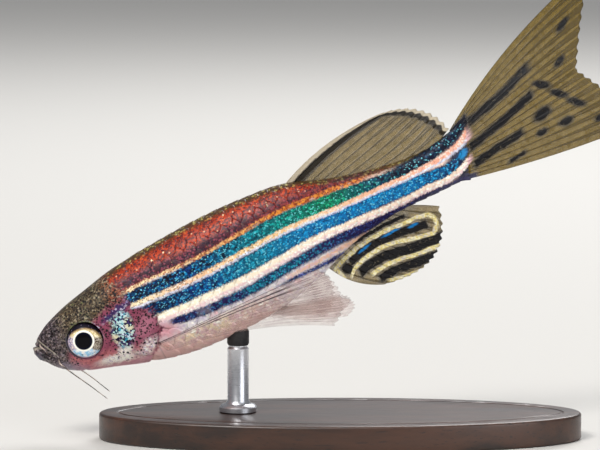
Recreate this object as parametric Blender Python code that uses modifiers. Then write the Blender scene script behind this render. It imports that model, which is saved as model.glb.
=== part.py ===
"""A life-size zebra danio, gliding head down, held by one rod on a small oval base.

The fish is modelled straight in its own coordinates, in millimetres: s runs back from the snout along the
body, q to the fish's right and t up to its back. The body is one loft, parted by thin cuts into head, lower
jaw, gill covers, trunk and tail stalk. The fins are sheets with their rays raised in the surface. Then
everything is bent a little towards the fish's right and scaled to metres, and an empty pitches it.
"""

import math

import bmesh
import bpy
import numpy as np
from mathutils import Matrix, Vector

MM = 0.001
GAP = 0.3  # between neighbouring pieces

# The body: each row is a station s, the back's height, the belly's height and the half width there
BODY = (
    (-0.15, 0.02, -0.40, 0.22),
    (0.10, 0.26, -1.00, 0.52),
    (0.60, 0.66, -1.78, 0.86),
    (1.40, 1.15, -2.42, 1.20),
    (3.00, 1.78, -3.18, 1.70),
    (5.00, 2.34, -3.86, 2.05),
    (7.40, 2.95, -4.55, 2.28),
    (11.0, 3.44, -5.15, 2.36),
    (15.0, 3.80, -5.12, 2.26),
    (18.5, 3.84, -4.68, 2.05),
    (21.7, 3.60, -3.72, 1.70),
    (25.0, 2.56, -2.46, 1.28),
    (28.5, 1.82, -1.82, 0.98),
    (32.0, 1.55, -1.72, 0.78),
    (34.5, 2.00, -1.66, 0.52),
    (36.4, 2.50, -1.90, 0.36),
)
WIDEST = 0.56  # the widest level, as a share of the depth above the belly
FULLNESS = 2.2  # the section's exponent, 2 for an ellipse
BODY_RINGS, BODY_SIDES = 40, 24

# The cuts that part the body, as lines in the plane of symmetry
GILL_OPENING = ((8.6, 5.0), (8.9, 2.2), (9.3, 0.2), (9.35, -1.8), (8.6, -3.5), (7.3, -4.6), (6.4, -6.0))
TAIL_JOINT = ((28.9, 4.0), (29.2, 0.0), (28.9, -4.0))
CAUDAL_BASE = ((36.1, 4.5), (35.85, 2.3), (35.2, 0.4), (34.45, -1.7), (33.6, -3.8))
MOUTH = ((-0.9, 0.55), (-0.07, 0.0), (0.95, -1.38))
JAW_BACK = ((0.95, -1.38), (2.3, -2.52), (3.9, -4.4))

# The gill covers: the front and lower rim of the plate, which ends behind at the gill opening
GILL_COVER_RIM = ((9.0, 1.55), (7.4, 1.75), (6.4, 0.9), (6.0, -0.8), (6.1, -2.6), (6.9, -3.8), (8.0, -4.1))
GILL_COVER_THICKNESS = 0.6
GILL_COVER_RELIEF = 0.12  # how far the plate stands proud of the cheek

EYE_PLACE = (3.72, 1.15, -0.95)
EYE_RADIUS, EYE_DEPTH = 1.3, 1.08  # in the plane of the cheek, and outwards
NOSTRILS = ((1.55, 0.36, 0.2), (1.95, 0.55, 0.16))  # place s and t, and radius
NOSTRIL_DEPTH = 0.3
LIP_RADIUS, LIP_OFFSET = 0.17, 0.27  # of the roll, and from the line of the mouth

# Fins: the sheet's thickness, and how far a ray stands out of each face at its root and near its tip
MEMBRANE, FIN_EDGE = 0.5, 0.2
RAY_RISE, RAY_RISE_TIP = 0.14, 0.09
RAY_SHARE = 0.26  # of the spacing between two rays, on each side of a ray's crest
ROWS = (0.0, 0.2, 0.4, 0.6, 0.8, 0.94, 1.0)  # along a ray
SUNK = 0.55  # how deep the root of a fin of the back or belly reaches under the skin
NOTCH = 0.16  # how far the membrane falls back between two ray ends

# Each fin's count of rays, where its first and last rays start, the curve of the ray ends, and how far its
# first and last rays bow to their left
DORSAL_RAYS, DORSAL_ROOTS, DORSAL_BOWS = 11, (21.1, 27.6), (0.62, -0.8)
DORSAL_TIPS = ((30.0, 5.4), (32.2, 5.5), (34.3, 4.35), (34.65, 2.28))
ANAL_RAYS, ANAL_ROOTS, ANAL_BOWS = 15, (22.1, 28.5), (-0.55, 0.1)
ANAL_TIPS = ((25.6, -6.35), (29.0, -7.0), (31.2, -6.0), (31.7, -2.7))
CAUDAL_RAYS, CAUDAL_FORK, CAUDAL_BOWS = 19, (45.2, 2.3), (0.74, -0.3)
CAUDAL_TIPS = ((49.2, 8.95), (48.4, -3.4))
PECTORAL_RAYS, PECTORAL_ROOTS, PECTORAL_BOWS = 12, ((8.3, -3.3), (8.7, -4.15)), (0.1, 0.75)
PECTORAL_TIPS = ((21.5, -2.75), (22.6, -4.4), (22.6, -6.3), (20.9, -7.2))
PELVIC_RAYS, PELVIC_ROOTS, PELVIC_BOWS = 8, ((16.5, -4.7), (17.8, -4.6)), (-0.3, -0.15)
PELVIC_TIPS = ((22.1, -7.1), (23.3, -6.9), (23.2, -6.2), (22.1, -5.7))

# Barbels of the left side: places s, q, t from root to tip, and the radius at the root and tip
MAXILLARY = (
    ((1.3, -0.75, -1.42), (1.3, -1.6, -1.85), (1.95, -1.95, -2.95), (2.65, -2.05, -4.1), (3.46, -1.9, -5.6)),
    (0.26, 0.07),
)
ROSTRAL = (
    ((0.45, -0.35, 0.1), (0.42, -1.12, -0.1), (0.85, -1.75, -0.65), (1.5, -2.05, -1.2)),
    (0.25, 0.08),
)

# The pose
BEND_START, BEND_AT_TAIL = 12.0, 9.0  # where the bend begins, and its angle in degrees at the tail's base
TAIL_BASE = 35.0
PITCH = 23.8  # degrees that the head points down

# The stand
BASE_LENGTH, BASE_DEPTH, BASE_THICKNESS, BASE_ROUNDING = 36.0, 15.0, 2.0, 0.4
BASE_SEGMENTS = 40
ROD_RADIUS, ROD_FOOT_RADIUS, ROD_FOOT_HEIGHT = 0.8, 1.4, 0.7
ROD_AT = 14.2  # the station of the belly that it reaches
CLEARANCE = 1.2  # under the lowest barbel


def start_empty():
    """Removes what the file holds, and makes the collections for the parts and for the cutters."""
    for obj in list(bpy.data.objects):
        bpy.data.objects.remove(obj, do_unlink=True)
    made = {}
    for name in ("Zebra_danio", "Cutters"):
        made[name] = bpy.data.collections.new(name)
        bpy.context.scene.collection.children.link(made[name])
    made["Cutters"].hide_render = True
    return made["Zebra_danio"], made["Cutters"]


PARTS, CUTTERS = start_empty()


def smooth(points, at):
    """The smooth curve through rows of numbers, whose first column rises, read at one value of that column."""
    x = [row[0] for row in points]
    k = min(max(int(np.searchsorted(x, at)) - 1, 0), len(x) - 2)
    rows = np.array(points, float)

    def slope(i):
        a, b = max(i - 1, 0), min(i + 1, len(x) - 1)
        return (rows[b] - rows[a]) / (x[b] - x[a])

    span = x[k + 1] - x[k]
    h = (at - x[k]) / span
    return (
        rows[k] * (2 * h**3 - 3 * h**2 + 1)
        + rows[k + 1] * (3 * h**2 - 2 * h**3)
        + slope(k) * span * (h**3 - 2 * h**2 + h)
        + slope(k + 1) * span * (h**3 - h**2)
    )


def bezier(controls, v):
    """The point at v on the cubic curve with four control points."""
    a, b, c, d = (np.array(p, float) for p in controls)
    return a * (1 - v) ** 3 + 3 * b * v * (1 - v) ** 2 + 3 * c * v**2 * (1 - v) + d * v**3


def body_section(s):
    """Back, belly, half width and widest level at station s."""
    _, back, belly, half = smooth(BODY, s)
    return back, belly, half, belly + WIDEST * (back - belly)


def flank(s, t):
    """How far out the skin lies at station s and height t."""
    back, belly, half, level = body_section(s)
    reach = (back if t > level else belly) - level
    share = min(abs((t - level) / reach), 1.0)
    return half * (1 - share**FULLNESS) ** (1 / FULLNESS)


def add_object(name, bm, collection):
    """A new object that holds the bmesh, which is freed."""
    mesh = bpy.data.meshes.new(name)
    bmesh.ops.recalc_face_normals(bm, faces=bm.faces)
    bm.to_mesh(mesh)
    bm.free()
    obj = bpy.data.objects.new(name, mesh)
    collection.objects.link(obj)
    if collection is CUTTERS:
        obj.display_type = "WIRE"
        obj.hide_render = True
    return obj


def loft(name, rings, collection):
    """A closed skin over rings of points with as many points each, capped at both ends."""
    bm = bmesh.new()
    made = [[bm.verts.new(p) for p in ring] for ring in rings]
    for near, far in zip(made, made[1:]):
        for i in range(len(near)):
            j = (i + 1) % len(near)
            bm.faces.new((near[i], near[j], far[j], far[i]))
    bm.faces.new(made[0])
    bm.faces.new(made[-1])
    bmesh.ops.triangulate(bm, faces=[f for f in bm.faces if len(f.verts) > 4])
    return add_object(name, bm, collection)


def body_stations(first=BODY[0][0], last=BODY[-1][0]):
    """Where the body's rings lie between two stations, closer towards the snout."""
    shares = [k / BODY_RINGS for k in range(BODY_RINGS + 1)]
    stations = [BODY[0][0] + (BODY[-1][0] - BODY[0][0]) * x ** (1 + 0.9 * (1 - x)) for x in shares]
    return [s for s in stations if first <= s <= last]


def body_loft(name, grow, collection, stations=None):
    """The body, with its skin moved outwards by grow."""
    rings = []
    for s in stations or body_stations():
        back, belly, half, level = body_section(s)
        ring = []
        for i in range(BODY_SIDES):
            turn = math.tau * i / BODY_SIDES
            out, up = math.sin(turn), math.cos(turn)
            q = (half + grow) * math.copysign(abs(out) ** (2 / FULLNESS), out)
            reach = back + grow - level if up > 0 else level - belly + grow
            ring.append((s, q, level + reach * math.copysign(abs(up) ** (2 / FULLNESS), up)))
        rings.append(ring)
    ends = ((rings[0], -grow), (rings[-1], grow))
    for ring, shift in ends:
        ring[:] = [(s + shift, q, t) for s, q, t in ring]
    return loft(name, rings, collection)


def prism(name, outline, low, high):
    """A cutter: a flat outline in the plane of symmetry, drawn out from q = low to q = high."""
    bm = bmesh.new()
    face = bm.faces.new([bm.verts.new((s, low, t)) for s, t in outline])
    drawn = bmesh.ops.extrude_face_region(bm, geom=[face])["geom"]
    moved = [v for v in drawn if isinstance(v, bmesh.types.BMVert)]
    bmesh.ops.translate(bm, verts=moved, vec=(0, high - low, 0))
    bmesh.ops.triangulate(bm, faces=[f for f in bm.faces if len(f.verts) > 4])
    return add_object(name, bm, CUTTERS)


def offset_line(line, distance):
    """An open line moved sideways, to its left for a positive distance."""
    points = [Vector(p) for p in line]
    moved = []
    for k, p in enumerate(points):
        along = (points[min(k + 1, len(points) - 1)] - points[max(k - 1, 0)]).normalized()
        moved.append(p + distance * Vector((-along.y, along.x)))
    return [tuple(p) for p in moved]


def offset_outline(outline, distance):
    """A closed outline grown by a distance."""
    points = [Vector(p) for p in outline]
    area = sum(a.x * b.y - b.x * a.y for a, b in zip(points, points[1:] + points[:1]))
    side = -math.copysign(distance, area)
    moved = []
    for k, p in enumerate(points):
        before, after = points[k - 1], points[(k + 1) % len(points)]
        along = (p - before).normalized() + (after - p).normalized()
        along.normalize()
        half_turn = max(along.dot((after - p).normalized()), 0.5)
        moved.append(p + side / half_turn * Vector((-along.y, along.x)))
    return [tuple(p) for p in moved]


def rounded(line):
    """An open line with its corners cut twice, so that it curves."""
    points = [np.array(p, float) for p in line]
    for _ in range(2):
        inner = [a + (b - a) * share for a, b in zip(points, points[1:]) for share in (0.25, 0.75)]
        points = [points[0], *inner[1:-1], points[-1]]
    return [tuple(p) for p in points]


def seam(name, line, thickness=GAP):
    """A thin wall across the whole body that parts it along a line."""
    outline = offset_line(line, thickness / 2) + offset_line(line, -thickness / 2)[::-1]
    return prism(name, outline, -8, 8)


def tube(name, path, radii, sides, collection):
    """A round, tapering tube along a path."""
    points = [Vector(p) for p in path]
    rings = []
    for k, (p, radius) in enumerate(zip(points, radii)):
        along = (points[min(k + 1, len(points) - 1)] - points[max(k - 1, 0)]).normalized()
        side = along.orthogonal().normalized() if k == 0 else (side - side.dot(along) * along).normalized()
        other = along.cross(side)
        turns = [math.tau * i / sides for i in range(sides)]
        rings.append([tuple(p + radius * (math.cos(a) * side + math.sin(a) * other)) for a in turns])
    return loft(name, rings, collection)


def ball(name, place, radii, segments, rings, collection):
    """A sphere stretched to three radii."""
    bm = bmesh.new()
    bmesh.ops.create_uvsphere(bm, u_segments=segments, v_segments=rings, radius=1)
    bmesh.ops.rotate(bm, verts=bm.verts, matrix=Matrix.Rotation(math.pi / 2, 3, "X"))
    bmesh.ops.scale(bm, verts=bm.verts, vec=radii)
    bmesh.ops.translate(bm, verts=bm.verts, vec=place)
    return add_object(name, bm, collection)


def apply_boolean(obj, other, operation, solver="EXACT"):
    """Cuts, keeps or joins a mesh with another object or with a collection of closed objects."""
    modifier = obj.modifiers.new(operation.title(), "BOOLEAN")
    modifier.operation = operation
    modifier.solver = solver
    if isinstance(other, bpy.types.Collection):
        modifier.operand_type = "COLLECTION"
        modifier.collection = other
    else:
        modifier.object = other
    graph = bpy.context.evaluated_depsgraph_get()
    mesh = bpy.data.meshes.new_from_object(obj.evaluated_get(graph))
    obj.modifiers.remove(modifier)
    obj.data = mesh
    return obj


def cut(obj, *cutters):
    """Takes each cutter's space out of the object and removes the cutter."""
    for cutter in cutters:
        apply_boolean(obj, cutter, "DIFFERENCE")
        bpy.data.objects.remove(cutter, do_unlink=True)
    return obj


def join(obj, pieces):
    """Fuses closed pieces into the object by one union, and removes them."""
    together = bpy.data.collections.new("Together")
    bpy.context.scene.collection.children.link(together)
    for piece in pieces:
        together.objects.link(piece)
    apply_boolean(obj, together, "UNION")
    for piece in pieces:
        bpy.data.objects.remove(piece, do_unlink=True)
    bpy.data.collections.remove(together)
    return obj


def islands(bm):
    """The separate surfaces of a mesh, each as a list of its faces."""
    left, found = set(bm.faces), []
    while left:
        stack = [left.pop()]
        island = []
        while stack:
            face = stack.pop()
            island.append(face)
            for edge in face.edges:
                for near in edge.link_faces:
                    if near in left:
                        left.remove(near)
                        stack.append(near)
        found.append(island)
    return found


def volume_of(faces):
    """The space that a closed surface holds."""
    total = 0.0
    for face in faces:
        a, *rest = (v.co for v in face.verts)
        total += sum(a.dot(b.cross(c)) for b, c in zip(rest, rest[1:])) / 6
    return total


def keep_island(obj, place=None):
    """Keeps one closed surface of the object: the largest, or the one whose middle is nearest a place."""
    bm = bmesh.new()
    bm.from_mesh(obj.data)
    found = [faces for faces in islands(bm) if volume_of(faces) > 0.01]

    def far(faces):
        points = [v.co for face in faces for v in face.verts]
        return (sum(points, Vector()) / len(points) - Vector(place)).length

    kept = set(min(found, key=far) if place else max(found, key=volume_of))
    bmesh.ops.delete(bm, geom=[f for f in bm.faces if f not in kept], context="FACES")
    bmesh.ops.triangulate(bm, faces=bm.faces)
    bm.to_mesh(obj.data)
    bm.free()
    return obj


def copy_of(obj, name, collection):
    """A copy with a mesh of its own."""
    twin = bpy.data.objects.new(name, obj.data.copy())
    collection.objects.link(twin)
    return twin


def mirrored(obj, name):
    """The other side's piece."""
    twin = copy_of(obj, name, PARTS)
    bm = bmesh.new()
    bm.from_mesh(twin.data)
    bmesh.ops.scale(bm, verts=bm.verts, vec=(1, -1, 1))
    bmesh.ops.reverse_faces(bm, faces=bm.faces)
    bm.to_mesh(twin.data)
    bm.free()
    return twin


def lip(name, lift):
    """One lip: a roll round the front of the mouth, a little above or below its line."""
    tip, corner = Vector(MOUTH[1]), Vector(MOUTH[2])
    along = (corner - tip).normalized()
    above = Vector((-along.y, along.x)) * lift
    path = []
    for k in range(-6, 7):
        share = 1 - math.cos(math.radians(90 * abs(k) / 6))
        place = tip + 0.05 * along + (corner - tip) * 0.92 * share + above
        path.append((place.x, math.copysign(flank(max(place.x, -0.1), place.y), k) if k else 0.0, place.y))
    radii = [LIP_RADIUS * (0.55 + 0.45 * math.cos(math.radians(75 * k / 6))) for k in range(-6, 7)]
    return tube(name, path, radii, 8, CUTTERS)


def gill_cover_outline(grow):
    """The plate's outline: its rim, then up along the gill opening."""
    top, bottom = GILL_COVER_RIM[0][1], GILL_COVER_RIM[-1][1]
    rear = [p for p in offset_line(rounded(GILL_OPENING), -GAP / 2) if bottom + 0.1 < p[1] < top - 0.1]
    outline = rounded(GILL_COVER_RIM) + rear[::-1]
    return offset_outline(outline, grow) if grow else outline


def make_body():
    """The loft parted into head, lower jaw, gill covers, trunk and tail stalk, by name."""
    body = body_loft("body", 0, PARTS)
    join(body, [lip("upper_lip", LIP_OFFSET), lip("lower_lip", -LIP_OFFSET)])
    cut(
        body,
        seam("gill_opening", rounded(GILL_OPENING)),
        seam("tail_joint", TAIL_JOINT),
        seam("mouth_line", MOUTH + JAW_BACK[1:]),
        prism("behind_tail", list(CAUDAL_BASE) + [(40, -3.8), (40, 4.5)], -8, 8),
    )
    middles = {
        "head": (4.5, 0, -0.5),
        "lower_jaw": (1.4, 0, -2.2),
        "trunk": (18.0, 0, -0.5),
        "tail_stalk": (32.0, 0, 0.0),
    }
    made = {name: keep_island(copy_of(body, name, PARTS), at) for name, at in middles.items()}
    bpy.data.objects.remove(body, do_unlink=True)
    head = made["head"]
    cheek = body_stations(3, 13)
    for side, name in ((-1, "left"), (1, "right")):
        low, high = sorted((side * 0.35, side * 6))
        plate = body_loft(f"gill_cover_{name}", GILL_COVER_RELIEF, PARTS)
        apply_boolean(plate, prism("rim", gill_cover_outline(0), low, high), "INTERSECT")
        cut(plate, body_loft("inside", GILL_COVER_RELIEF - GILL_COVER_THICKNESS, CUTTERS, cheek))
        made[plate.name] = keep_island(plate)
        pocket = prism("pocket", gill_cover_outline(GAP), low, high)
        cut(pocket, body_loft("under", GILL_COVER_RELIEF - GILL_COVER_THICKNESS - GAP, CUTTERS, cheek))
        cut(head, pocket)
        s, q, t = EYE_PLACE
        radii = (EYE_RADIUS + GAP, EYE_DEPTH + GAP, EYE_RADIUS + GAP)
        cut(head, ball("socket", (s, side * q, t), radii, 20, 12, CUTTERS))
        for nostril_s, nostril_t, radius in NOSTRILS:
            skin = flank(nostril_s, nostril_t)
            radii = (radius, NOSTRIL_DEPTH, radius)
            cut(head, ball("nostril", (nostril_s, side * skin, nostril_t), radii, 10, 6, CUTTERS))
    keep_island(head)
    for obj in [obj for obj in CUTTERS.objects if obj.name.startswith("rim")]:
        bpy.data.objects.remove(obj, do_unlink=True)
    return made


def make_eyes():
    """Both eyeballs, a little flattened outwards."""
    s, q, t = EYE_PLACE
    radii = (EYE_RADIUS, EYE_DEPTH, EYE_RADIUS)
    return {
        f"eye_{name}": ball(f"eye_{name}", (s, side * q, t), radii, 20, 12, PARTS)
        for side, name in ((-1, "left"), (1, "right"))
    }


def fin(name, rays, plan, out):
    """A fin as one closed sheet. v runs across its rays and h along them, both from 0 to 1.

    plan(v, h) is its middle surface seen from the side, and out(v, h) how far to the fish's right it lies.
    Each ray is a ridge of three columns on both faces, and the membrane runs flat from ridge to ridge.
    """
    columns = []
    for ray in range(rays):
        columns += [(ray - RAY_SHARE, 0), (ray, 1), (ray + RAY_SHARE, 0)]
    columns = [(across / (rays - 1), crest) for across, crest in columns[1:-1]]
    step = 0.003

    def middle(v, h):
        s, t = plan(v, h)
        return Vector((s, out(v, h), t))

    def normal(v, h):
        v0, v1, h0, h1 = max(v - step, 0), min(v + step, 1), max(h - step, 0), min(h + step, 1)
        return (middle(v1, h) - middle(v0, h)).cross(middle(v, h1) - middle(v, h0)).normalized()

    def half_thickness(h, crest):
        if h == 1:
            return FIN_EDGE / 2 + 0.4 * RAY_RISE_TIP * crest
        return MEMBRANE / 2 + crest * (RAY_RISE + (RAY_RISE_TIP - RAY_RISE) * h)

    bm = bmesh.new()
    near, far = (
        [
            [bm.verts.new(middle(v, h) + side * half_thickness(h, crest) * normal(v, h)) for h in ROWS]
            for v, crest in columns
        ]
        for side in (1, -1)
    )
    last_column, last_row = len(columns) - 1, len(ROWS) - 1
    for sheet in (near, far):
        for i in range(last_column):
            for j in range(last_row):
                a, b, c, d = sheet[i][j], sheet[i + 1][j], sheet[i + 1][j + 1], sheet[i][j + 1]
                bm.faces.new((a, b, c))
                bm.faces.new((a, c, d))
    rim = [(i, 0) for i in range(last_column)] + [(last_column, j) for j in range(last_row)]
    rim += [(i, last_row) for i in range(last_column, 0, -1)] + [(0, j) for j in range(last_row, 0, -1)]
    for (i, j), (k, m) in zip(rim, rim[1:] + rim[:1]):
        bm.faces.new((near[i][j], near[k][m], far[k][m]))
        bm.faces.new((near[i][j], far[k][m], far[i][j]))
    return add_object(name, bm, PARTS)


def fin_plan(rays, root, tip, bow):
    """The plan of a fin from where its rays start, where they end and how far they bow between.

    The membrane falls back a little between the ends of two rays.
    """

    def plan(v, h):
        start, end = np.array(root(v), float), np.array(tip(v), float)
        length = np.linalg.norm(end - start)
        notch = NOTCH / length * (1 - math.cos(math.tau * v * (rays - 1))) / 2
        reach = h * (1 - notch * h)
        along = (end - start) / length
        side = np.array((-along[1], along[0]))
        return start + length * reach * along + 4 * reach * (1 - reach) * bow(v) * side

    return plan


def between(ends):
    """The straight way from the first of two ends, at 0, to the second, at 1."""
    first, last = (np.array(end, float) for end in ends)
    return lambda v: first + (last - first) * v


def make_dorsal_fin():
    """The back's fin, laid back, its free edge rounded."""

    def root(v):
        s = between(DORSAL_ROOTS)(v)
        return s, body_section(s)[0] - SUNK

    plan = fin_plan(DORSAL_RAYS, root, lambda v: bezier(DORSAL_TIPS, v), between(DORSAL_BOWS))
    return fin("dorsal_fin", DORSAL_RAYS, plan, lambda v, h: 0.35 * math.sin(math.pi * v) * h**2)


def make_anal_fin():
    """The fin behind the vent."""

    def root(v):
        s = between(ANAL_ROOTS)(v)
        return s, body_section(s)[1] + SUNK

    plan = fin_plan(ANAL_RAYS, root, lambda v: bezier(ANAL_TIPS, v), between(ANAL_BOWS))
    return fin("anal_fin", ANAL_RAYS, plan, lambda v, h: -0.3 * math.sin(math.pi * v) * h**2)


def make_caudal_fin():
    """The forked tail fin, whose rays fan out from the slanting end of the stalk."""
    top, middle, bottom = (np.array(p) for p in CAUDAL_BASE[1:4])
    inset = np.array((-0.1, -0.15))

    def root(v):
        edge = (1 - v) ** 2 * (top + inset) + 2 * v * (1 - v) * middle + v**2 * (bottom - inset)
        return edge + (GAP, 0)

    def tip(v):
        lobe = CAUDAL_TIPS[0] if v < 0.5 else CAUDAL_TIPS[1]
        return between((CAUDAL_FORK, lobe))(abs(2 * v - 1) ** 1.15)

    def bow(v):
        return CAUDAL_BOWS[0] * max(1 - 2 * v, 0) + CAUDAL_BOWS[1] * max(2 * v - 1, 0)

    plan = fin_plan(CAUDAL_RAYS, root, tip, bow)
    return fin("caudal_fin", CAUDAL_RAYS, plan, lambda v, h: 0.5 * math.sin(math.tau * v) * h**2)


def make_pectoral_fin():
    """The left fin behind the gill cover: it stands out from the skin and then lies back along the belly."""
    root = between(PECTORAL_ROOTS)

    def out(v, h):
        skin = flank(*root(v))
        shoulder = 1.25 * (1 - math.exp(-22 * h))
        spread = (2.2 - 0.5 * v + 0.25 * math.sin(math.pi * v)) * h
        return -(skin - 0.5 + shoulder + spread)

    plan = fin_plan(PECTORAL_RAYS, root, lambda v: bezier(PECTORAL_TIPS, v), between(PECTORAL_BOWS))
    return fin("pectoral_fin_left", PECTORAL_RAYS, plan, out)


def make_pelvic_fin():
    """The left fin under the belly."""
    plan = fin_plan(
        PELVIC_RAYS, between(PELVIC_ROOTS), lambda v: bezier(PELVIC_TIPS, v), between(PELVIC_BOWS)
    )
    return fin("pelvic_fin_left", PELVIC_RAYS, plan, lambda v, h: -(0.95 - 0.5 * v + (1.35 - 0.75 * v) * h))


def barbel(name, places, radii_at_ends):
    """A feeler that tapers along a smooth curve through its places."""
    steps = 3 * (len(places) - 1)
    rows = [(k, *place) for k, place in enumerate(places)]
    path = [tuple(smooth(rows, k * (len(places) - 1) / steps)[1:]) for k in range(steps + 1)]
    thick, thin = radii_at_ends
    radii = [thick + (thin - thick) * (k / steps) ** 1.3 for k in range(steps + 1)]
    return tube(name, path, radii, 8, PARTS)


def bend(obj):
    """Bends a straight piece towards the fish's right behind BEND_START, and scales it to metres."""
    slope = math.tan(math.radians(BEND_AT_TAIL)) / (TAIL_BASE - BEND_START)
    for vertex in obj.data.vertices:
        s, q, t = vertex.co
        past = max(s - BEND_START, 0.0)
        turn = math.atan(slope * past)
        out = slope * past**2 / 2 + q * math.cos(turn)
        vertex.co = Vector((s - q * math.sin(turn), out, t)) * MM


def world_points(objects):
    """The points of some objects as they stand in the world."""
    bpy.context.view_layer.update()
    return np.array([obj.matrix_world @ v.co for obj in objects for v in obj.data.vertices])


def make_fish():
    """Every piece of the fish, posed, under one empty. Returns the empty and the pieces by name."""
    made = make_body()
    made |= make_eyes()
    grown = body_loft("grown", GAP, CUTTERS)
    rooted = [make_dorsal_fin(), make_anal_fin(), make_pectoral_fin(), make_pelvic_fin()]
    rooted += [barbel("barbel_maxillary_left", *MAXILLARY), barbel("barbel_rostral_left", *ROSTRAL)]
    for obj in rooted:
        apply_boolean(obj, grown, "DIFFERENCE")
        keep_island(obj)
    rooted += [mirrored(obj, obj.name.replace("_left", "_right")) for obj in rooted[2:]]
    made |= {obj.name: obj for obj in (*rooted, make_caudal_fin())}
    bend(grown)
    for obj in made.values():
        bend(obj)
    fish = bpy.data.objects.new("fish", None)
    PARTS.objects.link(fish)
    for obj in (*made.values(), grown):
        obj.parent = fish
    fish.rotation_euler = (0, -math.radians(PITCH), 0)
    points = world_points(made.values())
    low, high = points.min(axis=0), points.max(axis=0)
    fish.location = (-(low[0] + high[0]) / 2, 0, (BASE_THICKNESS + CLEARANCE) * MM - low[2])
    bpy.context.view_layer.update()
    return fish, made, grown


def make_stand(fish, grown):
    """The oval base and the rod that reaches up to the belly."""
    bm = bmesh.new()
    bmesh.ops.create_cone(
        bm, cap_ends=True, segments=BASE_SEGMENTS, radius1=0.5, radius2=0.5, depth=BASE_THICKNESS * MM
    )
    bmesh.ops.scale(bm, verts=bm.verts, vec=(BASE_LENGTH * MM, BASE_DEPTH * MM, 1))
    base = add_object("stand_base", bm, PARTS)
    base.location.z = BASE_THICKNESS * MM / 2
    rounding = base.modifiers.new("Rounding", "BEVEL")
    rounding.width = BASE_ROUNDING * MM
    rounding.segments = 2
    rounding.limit_method = "ANGLE"

    belly = fish.matrix_world @ (Vector((ROD_AT, 0, body_section(ROD_AT)[1])) * MM)
    foot = (BASE_THICKNESS + GAP) * MM
    top = belly.z + 2 * MM
    profile = (
        (0, top),
        (ROD_RADIUS * MM, top),
        (ROD_RADIUS * MM, foot + ROD_FOOT_HEIGHT * MM),
        (ROD_FOOT_RADIUS * MM, foot + ROD_FOOT_HEIGHT * MM * 0.6),
        (ROD_FOOT_RADIUS * MM, foot),
        (0, foot),
    )
    bm = bmesh.new()
    line = [bm.verts.new((r, 0, z - foot)) for r, z in profile]
    for a, b in zip(line, line[1:]):
        bm.edges.new((a, b))
    bmesh.ops.spin(
        bm, geom=bm.verts[:] + bm.edges[:], cent=(0, 0, 0), axis=(0, 0, 1), angle=math.tau, steps=20
    )
    bmesh.ops.remove_doubles(bm, verts=bm.verts, dist=0.00001)
    rod = add_object("stand_rod", bm, PARTS)
    rod.location = (belly.x, belly.y, foot)
    seat = rod.modifiers.new("Belly", "BOOLEAN")
    seat.operation = "DIFFERENCE"
    seat.object = grown
    return {"stand_base": base, "stand_rod": rod}


# Colour, roughness and metallic value of each kind of piece
FINISHES = {
    "head": ((0.46, 0.34, 0.26), 0.35, 0.1),
    "lower_jaw": ((0.50, 0.42, 0.38), 0.35, 0.0),
    "gill_cover": ((0.62, 0.42, 0.48), 0.25, 0.35),
    "eye": ((0.85, 0.86, 0.84), 0.15, 0.2),
    "trunk": ((0.16, 0.32, 0.52), 0.3, 0.3),
    "tail_stalk": ((0.14, 0.26, 0.48), 0.3, 0.3),
    "dorsal_fin": ((0.42, 0.38, 0.24), 0.4, 0.0),
    "anal_fin": ((0.62, 0.58, 0.30), 0.4, 0.0),
    "caudal_fin": ((0.52, 0.48, 0.26), 0.4, 0.0),
    "pectoral_fin": ((0.55, 0.45, 0.36), 0.4, 0.0),
    "pelvic_fin": ((0.48, 0.40, 0.28), 0.4, 0.0),
    "barbel": ((0.75, 0.66, 0.60), 0.5, 0.0),
    "stand_base": ((0.10, 0.06, 0.04), 0.4, 0.0),
    "stand_rod": ((0.70, 0.70, 0.72), 0.3, 1.0),
}


def dress(pieces):
    """Gives each piece its own material and smooth shading."""
    for name, obj in pieces.items():
        kind = next(kind for kind in FINISHES if name.startswith(kind))
        colour, roughness, metallic = FINISHES[kind]
        material = bpy.data.materials.new(name)
        material.use_nodes = True
        shader = material.node_tree.nodes["Principled BSDF"]
        shader.inputs["Base Color"].default_value = (*colour, 1)
        shader.inputs["Roughness"].default_value = roughness
        shader.inputs["Metallic"].default_value = metallic
        obj.data.materials.clear()
        obj.data.materials.append(material)
        obj.data.shade_smooth()
        obj.data.set_sharp_from_angle(angle=math.radians(35))


def main():
    """Builds the fish and its stand."""
    fish, pieces, grown = make_fish()
    dress(pieces | make_stand(fish, grown))


main()
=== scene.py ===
"""The looks of a life-size zebra danio model, gliding head down on a rod over an oval wooden base.

The fish is shaped straight in its own millimetres: s runs back from the snout along the body, q to the fish's
right and t up to its back. Every finished piece is then bent a little towards the fish's right, pitched and
set in its place in metres. One skin stands for all the flesh, scales lie over it as thin solid plates, and
each fin is a closed sheet whose branching rays are raised in its surface.
"""

import functools
import logging
import math
from dataclasses import dataclass
from enum import Enum
from typing import Callable, Sequence

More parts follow.
